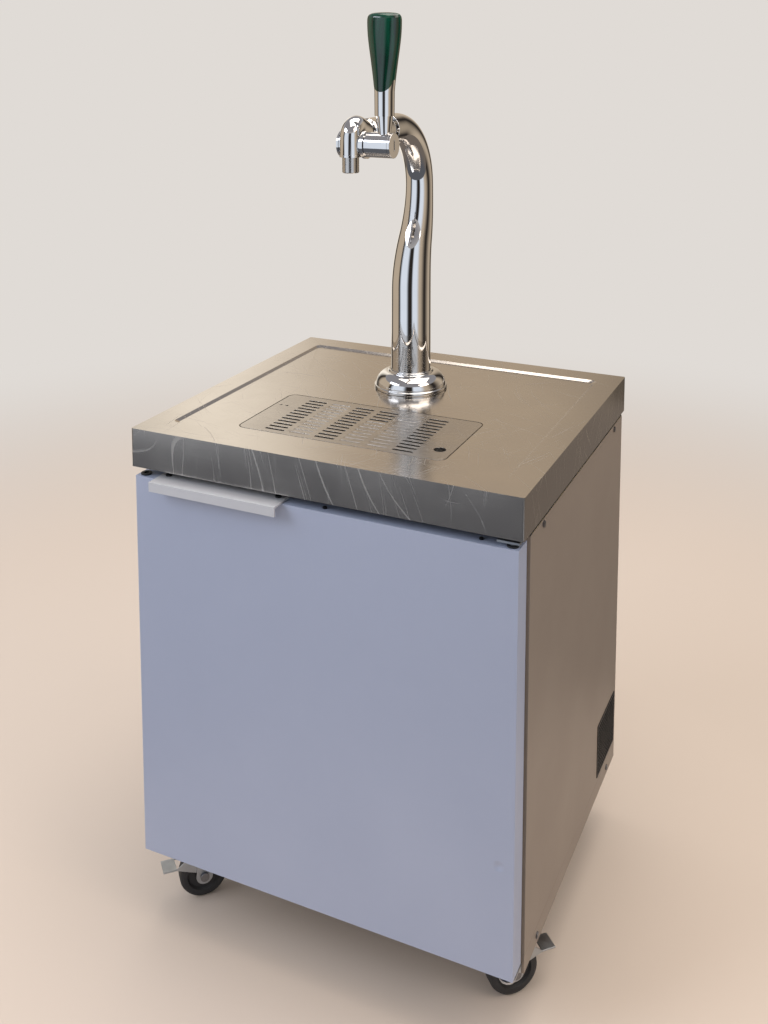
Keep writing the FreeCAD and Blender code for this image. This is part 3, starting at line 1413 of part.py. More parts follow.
def build_castor(name, x, y, yaw, braked):
    """One castor, made at the origin with its wheel trailing towards +Y."""
    plate_low = s.castor_height - s.castor_plate_thickness
    race_low = plate_low - s.castor_race_height
    crown_low = race_low - s.castor_running_gap - s.castor_crown_thickness
    trail = s.wheel_trail
    leg_x = s.wheel_width / 2 + s.fork_gap
    leg_outer = leg_x + s.fork_sheet
    crown = rod("fork_crown", s.castor_race_radius, (0, 0, crown_low), s.castor_crown_thickness)
    bridge_half = s.fork_foot_radius
    bridge = slab("fork_bridge", (-leg_outer, -bridge_half, crown_low),
                  (leg_outer, trail, crown_low + s.castor_crown_thickness))
    legs = []
    for sign in (-1, 1):
        run = [
            (-bridge_half, crown_low + s.castor_crown_thickness),
            (trail + s.fork_foot_radius * 0.6, crown_low + s.castor_crown_thickness),
            (trail + s.fork_foot_radius, s.wheel_radius),
            (trail, s.wheel_radius - s.fork_foot_radius),
            (trail - s.fork_foot_radius, s.wheel_radius),
            (trail - s.fork_foot_radius, crown_low - s.fork_foot_radius),
        ]
        leg = extruded_body("fork_leg", "YZ_Plane", run, s.fork_sheet,
                            ((leg_x + s.fork_sheet / 2) * sign, as_length(0), as_length(0)))
        foot = rod("fork_foot", s.fork_foot_radius, (leg_x if sign > 0 else -leg_outer, trail, s.wheel_radius),
                   s.fork_sheet, "x")
        legs += [leg, foot]
    kingpin_hole = rod("kingpin_hole", s.castor_kingpin + s.axle_gap, (0, 0, crown_low - s.overrun),
                       s.castor_crown_thickness + s.overrun * 2)
    pivot_z = crown_low - s.pedal_pivot_drop
    tools = [kingpin_hole, rod("axle_hole", s.axle_radius + s.axle_gap, (-leg_outer - s.overrun, trail,
                                                                        s.wheel_radius),
                               leg_outer * 2 + s.overrun * 2, "x")]
    fork = cut(f"{name}_fork_cut", fuse(f"{name}_fork_pressed", [crown, bridge] + legs), tools)
    if braked:
        pins = rod("pedal_pin", s.pedal_pivot, (-leg_outer, trail, pivot_z), leg_outer * 2, "x")
        fork = fuse(f"{name}_fork_pinned", [fork, pins])
    finish(f"{name}_fork", yawed(fork, x, y, yaw))
    shank = rod("axle_shank", s.axle_radius, (-leg_outer, trail, s.wheel_radius), leg_outer * 2, "x")
    heads = [
        rod("axle_head", s.axle_head, (start, trail, s.wheel_radius), s.axle_head_height, "x")
        for start in (-leg_outer - s.axle_head_height, leg_outer)
    ]
    finish(f"{name}_axle", yawed(fuse(f"{name}_axle", [shank] + heads), x, y, yaw))
    half = s.wheel_width / 2
    bore = s.axle_radius + s.axle_gap
    rim_inner = s.wheel_radius - s.wheel_rim
    fillet = s.wheel_tread_fillet
    corners = [
        (bore, -half),
        (s.wheel_hub, -half),
        (s.wheel_hub + s.wheel_dish / 2, -half + s.wheel_dish),
        (rim_inner - s.wheel_dish / 2, -half + s.wheel_dish),
        (rim_inner, -half),
        (s.wheel_radius - fillet, -half),
        (s.wheel_radius - fillet * 0.3, -half + fillet * 0.3),
        (s.wheel_radius, -half + fillet),
        (s.wheel_radius, half - fillet),
        (s.wheel_radius - fillet * 0.3, half - fillet * 0.3),
        (s.wheel_radius - fillet, half),
        (rim_inner, half),
        (rim_inner - s.wheel_dish / 2, half - s.wheel_dish),
        (s.wheel_hub + s.wheel_dish / 2, half - s.wheel_dish),
        (s.wheel_hub, half),
        (bore, half),
    ]
    wheel = turned_body("wheel_turned", corners, (0, trail, s.wheel_radius), "x")
    finish(f"{name}_wheel", yawed(group(f"{name}_wheel", [wheel]), x, y, yaw))
    if braked:
        finish(f"{name}_pedal", yawed(build_pedal(name, trail, pivot_z), x, y, yaw))


def build_pedal(name, pivot_y, pivot_z):
    """Brake pedal: two cheeks on the fork's pin and a tread plate beyond the wheel."""
    cheek_gap = s.body_gap
    cheek_sheet = s.fork_gap - cheek_gap * 2
    cheek_x = s.wheel_width / 2 + cheek_gap + cheek_sheet / 2
    boss = s.pedal_pivot + s.pedal_boss_wall
    reach_y = pivot_y + s.pedal_length
    tread_y = reach_y - s.pedal_width
    tread_low = pivot_z - s.pedal_tread_drop
    tread_top = tread_low + s.pedal_sheet
    pieces = []
    for sign in (-1, 1):
        arm = [
            (pivot_y, pivot_z + boss),
            (tread_y, tread_top),
            (reach_y, tread_top),
            (reach_y, tread_low),
            (tread_y, tread_low),
            (pivot_y + s.pedal_lobe_ahead, s.wheel_radius + s.pedal_lobe_lift),
            (pivot_y, pivot_z - boss),
        ]
        pieces.append(extruded_body("pedal_arm", "YZ_Plane", arm, cheek_sheet,
                                    (cheek_x * sign, as_length(0), as_length(0))))
        pieces.append(rod("pedal_boss", boss, (cheek_x * sign - cheek_sheet / 2, pivot_y, pivot_z), cheek_sheet, "x"))
    outer = cheek_x + cheek_sheet / 2
    pieces.append(slab("pedal_tread", (-outer, tread_y, tread_low), (outer, reach_y, tread_top)))
    hole = rod("pedal_hole", s.pedal_pivot + s.axle_gap, (-s.pedal_width, pivot_y, pivot_z), s.pedal_width * 2, "x")
    return cut(f"{name}_pedal_cut", fuse(f"{name}_pedal_pressed", pieces), [hole])


def build_castors():
    """Four swivel castors with their fixed top plates."""
    x = half_width - s.castor_inset_side
    front_y = front + s.castor_inset_front
    rear_y = rear - s.castor_inset_rear
    places = [
        ("front_left_castor", -x, front_y, s.front_left_turn, True),
        ("front_right_castor", x, front_y, s.front_right_turn, True),
        ("rear_left_castor", -x, rear_y, s.rear_left_turn, False),
        ("rear_right_castor", x, rear_y, s.rear_right_turn, False),
    ]
    plates = []
    plate_low = s.castor_height - s.castor_plate_thickness
    race_low = plate_low - s.castor_race_height
    pin_low = race_low - s.castor_running_gap - s.castor_crown_thickness - s.castor_kingpin
    for name, at_x, at_y, yaw, braked in places:
        half = s.castor_plate / 2
        plate = slab("castor_top", (at_x - half, at_y - half, plate_low), (at_x + half, at_y + half, s.castor_height))
        race = rod("castor_race", s.castor_race_radius, (at_x, at_y, race_low), s.castor_race_height)
        pin = rod("castor_pin", s.castor_kingpin, (at_x, at_y, pin_low), plate_low - pin_low)
        head = rod("castor_pin_head", s.castor_kingpin * 1.6, (at_x, at_y, pin_low - s.castor_kingpin / 2),
                   s.castor_kingpin - s.castor_running_gap + s.castor_kingpin / 2)
        plates.append(fuse("castor_plate", [plate, race, pin, head]))
        build_castor(name, at_x, at_y, yaw, braked)
    finish("castor_plates", group("castor_plates", plates))


def build_side_screws():
    """Screws that hold the side panels to the base and the subframe."""
    screws = []
    for sign in (-1, 1):
        for y in (side_front + s.castor_pad / 2, side_rear - s.castor_pad / 2):
            start = side_x if sign > 0 else -side_x - s.screw_head_height
            for z in (base_low + s.base_rail_height / 2, side_top - s.side_return / 2):
                screws.append(rod("side_screw", s.screw_head, (start, y, z), s.screw_head_height, "x"))
    finish("side_screws", group("side_screws", screws))


def check_and_write():
    """Stops at a failed object or a bad shape, then writes one file for each piece."""
    document.recompute()
    for item in document.Objects:
        if "Invalid" in item.State or "Error" in item.State:
            raise RuntimeError(f"{item.Label} failed: {item.State}")
    for node, piece in PIECES.items():
        shape = piece.Shape
        if shape.isNull() or not shape.isValid() or not shape.Solids:
            raise RuntimeError(f"{node} has no good solid")
    os.makedirs("parts", exist_ok=True)
    for node, piece in PIECES.items():
        piece.Shape.exportStep(os.path.join("parts", f"{node}.step"))
    print(len(PIECES), "pieces written")


build_base()
build_casing()
build_grille()
build_chamber()
build_top()
build_tray()
build_door()
build_tower()
build_tap()
build_lever()
build_beer_line()
build_cooling()
build_castors()
build_side_screws()
check_and_write()
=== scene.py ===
"""Visual model of a mobile draught beer cabinet with a swan-neck tap tower."""
import logging
import math
from dataclasses import dataclass, field
from enum import Enum

import bmesh
import bpy
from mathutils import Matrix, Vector


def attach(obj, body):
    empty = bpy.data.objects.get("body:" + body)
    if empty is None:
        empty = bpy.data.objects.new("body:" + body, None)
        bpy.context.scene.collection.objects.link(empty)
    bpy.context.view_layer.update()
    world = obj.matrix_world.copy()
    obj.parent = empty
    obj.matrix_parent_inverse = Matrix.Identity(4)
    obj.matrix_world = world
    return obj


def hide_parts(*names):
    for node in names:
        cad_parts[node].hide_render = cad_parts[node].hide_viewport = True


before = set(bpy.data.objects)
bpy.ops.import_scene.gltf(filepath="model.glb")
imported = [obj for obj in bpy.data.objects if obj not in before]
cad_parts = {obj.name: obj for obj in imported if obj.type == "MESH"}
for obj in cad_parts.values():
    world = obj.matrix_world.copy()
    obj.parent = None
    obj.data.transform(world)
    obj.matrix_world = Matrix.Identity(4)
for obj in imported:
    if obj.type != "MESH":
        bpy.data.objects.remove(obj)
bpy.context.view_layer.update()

log = logging.getLogger("beer_cabinet")

MM = 0.001


def linear(code: str, alpha: float = 1.0) -> tuple[float, float, float, float]:
    """Turns an sRGB hex code into a linear colour.

    Args:
        code: Six hex digits with a leading hash.
        alpha: Opacity that goes with the colour.

    Returns:
        Red, green, blue and alpha for a socket.
    """
    levels = [int(code[i:i + 2], 16) / 255 for i in (1, 3, 5)]
    red, green, blue = (v / 12.92 if v <= 0.04045 else ((v + 0.055) / 1.055) ** 2.4 for v in levels)
    return red, green, blue, alpha


def per_metre(size_mm: float) -> float:
    """Returns the texture scale at which one feature is size_mm across."""
    return 1 / (size_mm * MM)


def add_node(tree: bpy.types.NodeTree, kind: str, settings: dict | None = None,
             links: dict | None = None) -> bpy.types.Node:
    """Adds a node with its settings and its incoming links.

    Args:
        tree: Node tree that gets the node.
        kind: Node type, such as ShaderNodeTexNoise.
        settings: Attributes of the node, or values of its input sockets.
        links: Input socket to the output socket that feeds it.

    Returns:
        The new node.
    """
    node = tree.nodes.new(kind)
    for key, value in (settings or {}).items():
        if isinstance(key, str) and hasattr(node, key):
            setattr(node, key, value)
        else:
            node.inputs[key].default_value = value
    for key, output in (links or {}).items():
        tree.links.new(output, node.inputs[key])
    return node


class Grain(Enum):
    """Direction in which a surface was brushed, as the stretch of its streaks along X, Y and Z."""

    ALONG_X = (1.0, 30.0, 30.0)
    ALONG_Z = (30.0, 30.0, 1.0)
    NONE = (1.0, 1.0, 1.0)


@dataclass(frozen=True)
class Metal:
    """A bare or plated metal: its sheen, its brushing, its wear and its dirt."""

    name: str
    colour: str
    shade: str
    roughness: float
    grain: Grain = Grain.NONE
    streak_mm: float = 40.0
    streak_depth: float = 0.0
    streak_roughness: float = 0.0
    smudge_mm: float = 90.0
    smudge: float = 0.05
    scratches: float = 0.0
    scratch_width_mm: float = 1.1
    mottle_mm: float = 0.0
    metallic: float = 1.0
    dent_at: tuple[float, float, float] | None = None

    def make(self) -> bpy.types.Material:
        """Builds the material.

        Returns:
            A node material ready for an object's slot.
        """
        material = bpy.data.materials.new(self.name)
        material.use_nodes = True
        tree = material.node_tree
        shader = tree.nodes["Principled BSDF"]
        shader.inputs["Metallic"].default_value = self.metallic
        place = add_node(tree, "ShaderNodeTexCoord").outputs["Object"]
        # Hand prints and cleaning haze: broad, soft changes of gloss.
        smudge = add_node(tree, "ShaderNodeTexNoise", {"Scale": per_metre(self.smudge_mm), "Detail": 3.0},
                          {"Vector": place})
        rough = add_node(tree, "ShaderNodeMapRange", {
            "From Min": 0.35, "From Max": 0.7, "To Min": self.roughness,
            "To Max": self.roughness + self.smudge}, {"Value": smudge.outputs["Fac"]}).outputs["Result"]
        tint = add_node(tree, "ShaderNodeMix", {
            "data_type": "RGBA", 6: linear(self.colour), 7: linear(self.shade)},
            {0: smudge.outputs["Fac"]}).outputs[2]
        height = None
        if self.grain is not Grain.NONE:
            stretch = add_node(tree, "ShaderNodeMapping", {"Scale": self.grain.value}, {"Vector": place})
            streak = add_node(tree, "ShaderNodeTexNoise", {
                "Scale": per_metre(self.streak_mm), "Detail": 6.0, "Roughness": 0.7},
                {"Vector": stretch.outputs["Vector"]}).outputs["Fac"]
            rough = add_node(tree, "ShaderNodeMath", {"operation": "MULTIPLY_ADD", 1: self.streak_roughness},
                             {0: streak, 2: rough}).outputs[0]
            height = streak
        if self.scratches:
            rough, height = self._scratch(tree, place, rough, height)
        if self.mottle_mm:
            cells = add_node(tree, "ShaderNodeTexVoronoi", {"Scale": per_metre(self.mottle_mm)}, {"Vector": place})
            tint = add_node(tree, "ShaderNodeMix", {
                "data_type": "RGBA", "blend_type": "MULTIPLY", 0: 0.35},
                {6: tint, 7: cells.outputs["Color"]}).outputs[2]
            tint = add_node(tree, "ShaderNodeHueSaturation", {"Saturation": 0.12}, {"Color": tint}).outputs["Color"]
        tree.links.new(rough, shader.inputs["Roughness"])
        tree.links.new(tint, shader.inputs["Base Color"])
        normal = None
        if height is not None:
            normal = add_node(tree, "ShaderNodeBump", {"Strength": self.streak_depth, "Distance": 0.0004},
                              {"Height": height}).outputs["Normal"]
        if self.dent_at is not None:
            normal = self._dent(tree, place, normal)
        if normal is not None:
            tree.links.new(normal, shader.inputs["Normal"])
        return material

    def _scratch(self, tree: bpy.types.NodeTree, place: bpy.types.NodeSocket, rough: bpy.types.NodeSocket,
                 height: bpy.types.NodeSocket | None) -> tuple[bpy.types.NodeSocket, bpy.types.NodeSocket | None]:
        """Adds fine straight and bowed scratches in several directions.

        Args:
            tree: Material's node tree.
            place: Position on the object.
            rough: Roughness so far.
            height: Height so far.

        Returns:
            Roughness and height with the scratches in them.
        """
        bowed = add_node(tree, "ShaderNodeTexNoise", {"Scale": per_metre(260), "Detail": 0.0}, {"Vector": place})
        bend = add_node(tree, "ShaderNodeVectorMath", {"operation": "SCALE", "Scale": 0.18},
                        {0: bowed.outputs["Color"]})
        bent = add_node(tree, "ShaderNodeVectorMath", {"operation": "ADD"},
                        {0: place, 1: bend.outputs["Vector"]}).outputs["Vector"]
        for angle in (0.35, 1.25, 2.1, 2.75):
            turned = add_node(tree, "ShaderNodeMapping", {"vector_type": "TEXTURE", "Rotation": (0.0, 0.0, angle)},
                              {"Vector": bent})
            long = add_node(tree, "ShaderNodeMapping", {"Scale": (1.0, 90.0 / self.scratch_width_mm, 1.0)},
                            {"Vector": turned.outputs["Vector"]})
            line = add_node(tree, "ShaderNodeTexNoise", {"Scale": per_metre(150), "Detail": 1.0, "Roughness": 0.3},
                            {"Vector": long.outputs["Vector"]})
            mark = add_node(tree, "ShaderNodeMapRange", {"From Min": 0.70, "From Max": 0.80},
                            {"Value": line.outputs["Fac"]}).outputs["Result"]
            rough = add_node(tree, "ShaderNodeMath", {"operation": "MULTIPLY_ADD", 1: self.scratches},
                             {0: mark, 2: rough}).outputs[0]
        return rough, height

    def _dent(self, tree: bpy.types.NodeTree, place: bpy.types.NodeSocket,
              normal: bpy.types.NodeSocket | None) -> bpy.types.NodeSocket:
        """Adds one small knock in the sheet, about 14 mm across."""
        away = add_node(tree, "ShaderNodeVectorMath", {"operation": "DISTANCE", 1: self.dent_at}, {0: place})
        bowl = add_node(tree, "ShaderNodeMapRange", {
            "interpolation_type": "SMOOTHSTEP", "From Min": 0.0, "From Max": 0.009}, {"Value": away.outputs["Value"]})
        links = {"Height": bowl.outputs["Result"]}
        if normal is not None:
            links["Normal"] = normal
        return add_node(tree, "ShaderNodeBump", {"Strength": 0.9, "Distance": 0.0016}, links).outputs["Normal"]


@dataclass(frozen=True)
class Plastic:
    """A moulded, coated or rubbery surface with a fine texture."""

    name: str
    colour: str
    shade: str
    roughness: float
    grit_mm: float = 1.2
    grit_depth: float = 0.08
    patch_mm: float = 60.0
    coat: float = 0.0
    metallic: float = 0.0
    specular: float = 0.5
    dust: str | None = None

    def make(self) -> bpy.types.Material:
        """Builds the material.

        Returns:
            A node material ready for an object's slot.
        """
        material = bpy.data.materials.new(self.name)
        material.use_nodes = True
        tree = material.node_tree
        shader = tree.nodes["Principled BSDF"]
        shader.inputs["Metallic"].default_value = self.metallic
        shader.inputs["Specular IOR Level"].default_value = self.specular
        shader.inputs["Coat Weight"].default_value = self.coat
        shader.inputs["Coat Roughness"].default_value = 0.04
        place = add_node(tree, "ShaderNodeTexCoord").outputs["Object"]
        patch = add_node(tree, "ShaderNodeTexNoise", {"Scale": per_metre(self.patch_mm), "Detail": 4.0},
                         {"Vector": place}).outputs["Fac"]
        tint = add_node(tree, "ShaderNodeMix", {
            "data_type": "RGBA", 6: linear(self.colour), 7: linear(self.shade)}, {0: patch}).outputs[2]
        rough = add_node(tree, "ShaderNodeMapRange", {
            "From Min": 0.3, "From Max": 0.7, "To Min": self.roughness,
            "To Max": self.roughness + 0.08}, {"Value": patch}).outputs["Result"]
        if self.dust is not None:
            # Dust settles on what faces up.
            up = add_node(tree, "ShaderNodeSeparateXYZ", {}, {
                0: add_node(tree, "ShaderNodeNewGeometry").outputs["Normal"]}).outputs["Z"]
            share = add_node(tree, "ShaderNodeMapRange", {"From Min": 0.1, "From Max": 1.0, "To Max": 0.4},
                             {"Value": up}).outputs["Result"]
            tint = add_node(tree, "ShaderNodeMix", {"data_type": "RGBA", 7: linear(self.dust)},
                            {0: share, 6: tint}).outputs[2]
        grit = add_node(tree, "ShaderNodeTexNoise", {"Scale": per_metre(self.grit_mm), "Detail": 2.0},
                        {"Vector": place}).outputs["Fac"]
        normal = add_node(tree, "ShaderNodeBump", {"Strength": self.grit_depth, "Distance": 0.0003},
                          {"Height": grit}).outputs["Normal"]
        tree.links.new(tint, shader.inputs["Base Color"])
        tree.links.new(rough, shader.inputs["Roughness"])
        tree.links.new(normal, shader.inputs["Normal"])
        return material


@dataclass(frozen=True)
class Plywood:
    """Birch plywood seen on its cut edges and its unfinished face."""

    name: str = "birch_plywood_board"
    colour: str = "#C9A877"
    shade: str = "#9A7547"
    ply_mm: float = 3.0

    def make(self) -> bpy.types.Material:
        """Builds the material from bands of plies and a stretched grain."""
        material = bpy.data.materials.new(self.name)
        material.use_nodes = True
        tree = material.node_tree
        shader = tree.nodes["Principled BSDF"]
        place = add_node(tree, "ShaderNodeTexCoord").outputs["Object"]
        grain = add_node(tree, "ShaderNodeMapping", {"Scale": (1.0, 12.0, 12.0)}, {"Vector": place})
        fibre = add_node(tree, "ShaderNodeTexNoise", {"Scale": per_metre(30), "Detail": 6.0},
                         {"Vector": grain.outputs["Vector"]}).outputs["Fac"]
        plies = add_node(tree, "ShaderNodeTexWave", {
            "bands_direction": "Z", "Scale": per_metre(self.ply_mm) / 20, "Distortion": 0.5},
            {"Vector": place}).outputs["Fac"]
        share = add_node(tree, "ShaderNodeMath", {"operation": "MULTIPLY"}, {0: fibre, 1: plies}).outputs[0]
        tint = add_node(tree, "ShaderNodeMix", {
            "data_type": "RGBA", 6: linear(self.colour), 7: linear(self.shade)}, {0: share}).outputs[2]
        tree.links.new(tint, shader.inputs["Base Color"])
        shader.inputs["Roughness"].default_value = 0.7
        return material


@dataclass(frozen=True)
class TintedAcrylic:
    """Cast acrylic lens over a dark green back, with streaks of light inside it."""

    name: str = "bottle_green_cast_acrylic"
    colour: str = "#07402F"
    deep: str = "#021A13"

    def make(self) -> bpy.types.Material:
        """Builds the material: a dark body, vertical inner streaks and a clear coat."""
        material = bpy.data.materials.new(self.name)
        material.use_nodes = True
        tree = material.node_tree
        shader = tree.nodes["Principled BSDF"]
        place = add_node(tree, "ShaderNodeTexCoord").outputs["Object"]
        tall = add_node(tree, "ShaderNodeMapping", {"Scale": (1.0, 1.0, 0.09)}, {"Vector": place})
        streak = add_node(tree, "ShaderNodeTexNoise", {"Scale": per_metre(9), "Detail": 3.0},
                          {"Vector": tall.outputs["Vector"]}).outputs["Fac"]
        ramp = add_node(tree, "ShaderNodeMapRange", {"From Min": 0.35, "From Max": 0.68}, {"Value": streak})
        body = add_node(tree, "ShaderNodeMix", {
            "data_type": "RGBA", 6: linear(self.deep), 7: linear(self.colour)},
            {0: ramp.outputs["Result"]}).outputs[2]
        tree.links.new(body, shader.inputs["Base Color"])
        shader.inputs["Roughness"].default_value = 0.12
        shader.inputs["Coat Weight"].default_value = 0.3
        shader.inputs["Coat Roughness"].default_value = 0.02
        return material


@dataclass(frozen=True)
class ClearHose:
    """Food-grade PVC hose, milky and slightly see-through."""

    name: str = "milky_pvc_hose"
    colour: str = "#D9DDD6"

    def make(self) -> bpy.types.Material:
        """Builds the material with part of the light let through."""
        material = bpy.data.materials.new(self.name)
        material.use_nodes = True
        tree = material.node_tree
        shader = tree.nodes["Principled BSDF"]
        place = add_node(tree, "ShaderNodeTexCoord").outputs["Object"]
        haze = add_node(tree, "ShaderNodeTexNoise", {"Scale": per_metre(25), "Detail": 2.0},
                        {"Vector": place}).outputs["Fac"]
        tint = add_node(tree, "ShaderNodeMix", {
            "data_type": "RGBA", 6: linear(self.colour), 7: linear("#B9C2B8")}, {0: haze}).outputs[2]
        tree.links.new(tint, shader.inputs["Base Color"])
        shader.inputs["Roughness"].default_value = 0.25
        shader.inputs["Transmission Weight"].default_value = 0.35
        return material


class Finishes:
    """Every finish on the object, made once."""

    def __init__(self) -> None:
        """Makes the materials."""
        # 304 stainless sheet, brushed along the long side, then years of wiping: satin with arcs of fine scratches.
        self.worktop = Metal("brushed_stainless_worktop", "#CDC7C0", "#BDB6AE", 0.11, Grain.ALONG_X, 60, 0.04, 0.07,
                             120, 0.07, scratches=0.25).make()
        # The lid is the same sheet, laser cut and less worn.
        self.lid = Metal("brushed_stainless_lid", "#BDB7B0", "#ADA69E", 0.20, Grain.ALONG_X, 40, 0.04, 0.08, 70,
                         0.06, scratches=0.12).make()
        # The pan is deep drawn and dull.
        self.pan = Metal("drawn_stainless_pan", "#A8A49E", "#8F8A84", 0.32, smudge=0.12).make()
        # Steel sheet with a silver metallic coil coat: fine flake, low gloss. On the door it is tinted bluish, a
        # painted cool reflection of the room.
        self.door_coat_painted_cool_reflection = Metal("silver_coat_door_painted_cool_reflection", "#A3ABC0", "#9BA3B8", 0.42, Grain.ALONG_Z, 50, 0.02, 0.03, 160,
                               0.05, metallic=0.2, dent_at=(0.272, -0.265, 0.282)).make()
        # The same silver coat on the sides, tinted warm taupe: a painted warm reflection of the room.
        self.side_coat_painted_warm_reflection = Metal("silver_coat_sides_painted_warm_reflection", "#8E8277", "#867A6F", 0.42, Grain.ALONG_Z, 50, 0.02, 0.03,
                               160, 0.05, metallic=0.2).make()
        # Hot-dip galvanised sheet: dull grey with small spangles.
        self.galvanised = Metal("galvanised_sheet", "#A5A8AA", "#8F9396", 0.45, smudge=0.08, mottle_mm=9).make()
        # Bright zinc plate on pressed steel: bluish, soft highlights.
        self.zinc = Metal("bright_zinc_pressing", "#BCC0C4", "#A3A7AC", 0.30, smudge_mm=18, smudge=0.14).make()
        # Chromium over polished brass: mirror bright with faint finger haze.
        self.chrome = Metal("polished_chrome_plate", "#E2E1E0", "#D6D5D4", 0.02, smudge_mm=35, smudge=0.03).make()
        # Turned and brushed stainless tube.
        self.spout = Metal("turned_stainless_tube", "#C4C1BE", "#B0ADA9", 0.16, Grain.ALONG_X, 12, 0.05, 0.08, 30,
                           0.06).make()
        self.brass = Metal("turned_brass", "#C79A4B", "#A97F3A", 0.22, smudge_mm=14, smudge=0.12).make()
        # Extruded aluminium, satin anodised along its length.
        self.anodised = Metal("satin_anodised_aluminium", "#D3D3D6", "#C8C8CB", 0.40, Grain.ALONG_X, 50, 0.05, 0.06,
                              60, 0.05, metallic=0.5).make()
        self.plate = Metal("rolled_aluminium_plate", "#C2C4C6", "#B2B4B7", 0.38, smudge=0.08).make()
        self.fins = Metal("aluminium_fins", "#B5B3AE", "#8E8C87", 0.40, smudge_mm=20, smudge=0.1).make()
        self.screws = Metal("steel_screw_heads", "#8E8E90", "#77777A", 0.35, smudge_mm=4, smudge=0.1).make()
        self.black_screws = Plastic("black_oxide_screws", "#141416", "#1D1D20", 0.38, 0.8, 0.10, 6,
                                    metallic=0.4).make()
        # Powder coat: a tight orange peel.
        self.powder = Plastic("black_powder_coat", "#17171A", "#1F1F22", 0.45, 1.6, 0.12, 50).make()
        self.enamel = Plastic("black_gloss_enamel", "#0E0E10", "#18181A", 0.22, 2.5, 0.06, 40, coat=0.4,
                              dust="#6B6660").make()
        # Injection-moulded ABS and nylon: fine spark-eroded texture.
        self.black_moulding = Plastic("black_abs_moulding", "#121214", "#1A1A1C", 0.5, 0.9, 0.12, 30).make()
        self.white_moulding = Plastic("white_abs_moulding", "#DAD8D2", "#CFCCC5", 0.42, 0.9, 0.08, 50).make()
        # Vacuum-formed polystyrene liner: smooth and slightly glossy.
        self.liner = Plastic("formed_polystyrene_liner", "#E4E5E3", "#DADBD9", 0.30, 4.0, 0.05, 120).make()
        self.trim = Plastic("grey_pvc_frame", "#A4A4A6", "#9A9A9D", 0.5, 1.0, 0.1, 60).make()
        self.gasket = Plastic("grey_pvc_gasket", "#3B3C3F", "#303134", 0.6, 1.5, 0.1, 40).make()
        # Foamed polyurethane: open pores where it was cut.
        self.foam = Plastic("polyurethane_foam", "#D9C58F", "#C4AE77", 0.85, 2.2, 0.6, 20).make()
        # Moulded rubber tread on a nylon rim, scuffed by the floor.
        self.tyre = Plastic("moulded_rubber_tread", "#1B1B1D", "#2B2B2D", 0.55, 1.4, 0.2, 16, dust="#4B4742").make()
        self.hose = ClearHose().make()
        self.grip = TintedAcrylic().make()
        self.plywood = Plywood().make()


def dress(node: str, material: bpy.types.Material) -> bpy.types.Object:
    """Gives a CAD node its finish.

    Args:
        node: Name of the node.
        material: Finish for all of it.

    Returns:
        The node's object.
    """
    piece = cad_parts[node]
    piece.data.materials.clear()
    piece.data.materials.append(material)
    log.info("dressed %s in %s", node, material.name)
    return piece


def soften(node: str, body: str, material: bpy.types.Material, edge_mm: float, sharp: float = 32.0,
           segments: int = 3) -> bpy.types.Object:
    """Stands a copy with rounded edges in for a CAD node.

    Args:
        node: Name of the node.
        body: Body that carries it.
        material: Finish for all of it.
        edge_mm: Width of the rounding.
        sharp: Angle in degrees above which an edge is rounded.
        segments: Steps across the rounding.

    Returns:
        The new piece.
    """
    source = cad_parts[node]
    mesh = bpy.data.meshes.new(f"{node}_finished")
    build = bmesh.new()
    build.from_mesh(source.data)
    bmesh.ops.remove_doubles(build, verts=build.verts, dist=2e-6)
    bmesh.ops.dissolve_limit(build, angle_limit=math.radians(0.6), verts=build.verts, edges=build.edges)
    build.to_mesh(mesh)
    build.free()
    piece = add_piece(f"{node}_finished", mesh, material)
    bevel = piece.modifiers.new("rounded_edges", "BEVEL")
    bevel.width = edge_mm * MM
    bevel.segments = segments
    bevel.limit_method = "ANGLE"
    bevel.angle_limit = math.radians(sharp)
    bevel.harden_normals = True
    bevel.use_clamp_overlap = True
    smooth(piece, sharp)
    return stand_in(piece, body, node)


def add_piece(name: str, mesh: bpy.types.Mesh, material: bpy.types.Material) -> bpy.types.Object:
    """Puts a mesh into the scene under a name and with a finish.

    Args:
        name: Name of the new object.
        mesh: Its mesh, in metres in the object's frame.
        material: Finish for all of it.

    Returns:
        The new object.
    """
    piece = bpy.data.objects.new(name, mesh)
    bpy.context.scene.collection.objects.link(piece)
    mesh.materials.clear()
    mesh.materials.append(material)
    log.info("made %s in %s", name, material.name)
    return piece


def skin(rings: list[list[Vector]], name: str, looped: bool = False) -> bpy.types.Mesh:
    """Stretches a skin over rings that all have the same number of points.

    Args:
        rings: Points of each ring in millimetres, in order.
        name: Name of the mesh.
        looped: Joins the last ring to the first; otherwise both ends get a flat cap.

    Returns:
        A closed mesh with its faces turned outward.
    """
    build = bmesh.new()
    rows = [[build.verts.new(point * MM) for point in ring] for ring in rings]
    pairs = list(zip(rows, rows[1:]))
    if looped:
        pairs.append((rows[-1], rows[0]))
    for low, high in pairs:
        for i in range(len(low)):
            j = (i + 1) % len(low)
            build.faces.new((low[i], low[j], high[j], high[i]))
    if not looped:
        build.faces.new(rows[0])
        build.faces.new(rows[-1])
    bmesh.ops.recalc_face_normals(build, faces=build.faces)
    mesh = bpy.data.meshes.new(name)
    build.to_mesh(mesh)
    build.free()
    return mesh


def circle(centre: Vector, along: Vector, radius: float, steps: int = 72) -> list[Vector]:
    """Returns the points of a circle across a direction in the tower's own upright plane."""
    side = Vector((1, 0, 0))
    up = along.cross(side).normalized()
    turns = [2 * math.pi * i / steps for i in range(steps)]
    return [centre + side * (radius * math.cos(t)) + up * (radius * math.sin(t)) for t in turns]


def stand_in(piece: bpy.types.Object, body: str, node: str) -> bpy.types.Object:
    """Lets a piece ride a body in place of a CAD node, and hides the node."""
    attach(piece, body)
    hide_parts(node)
    return piece


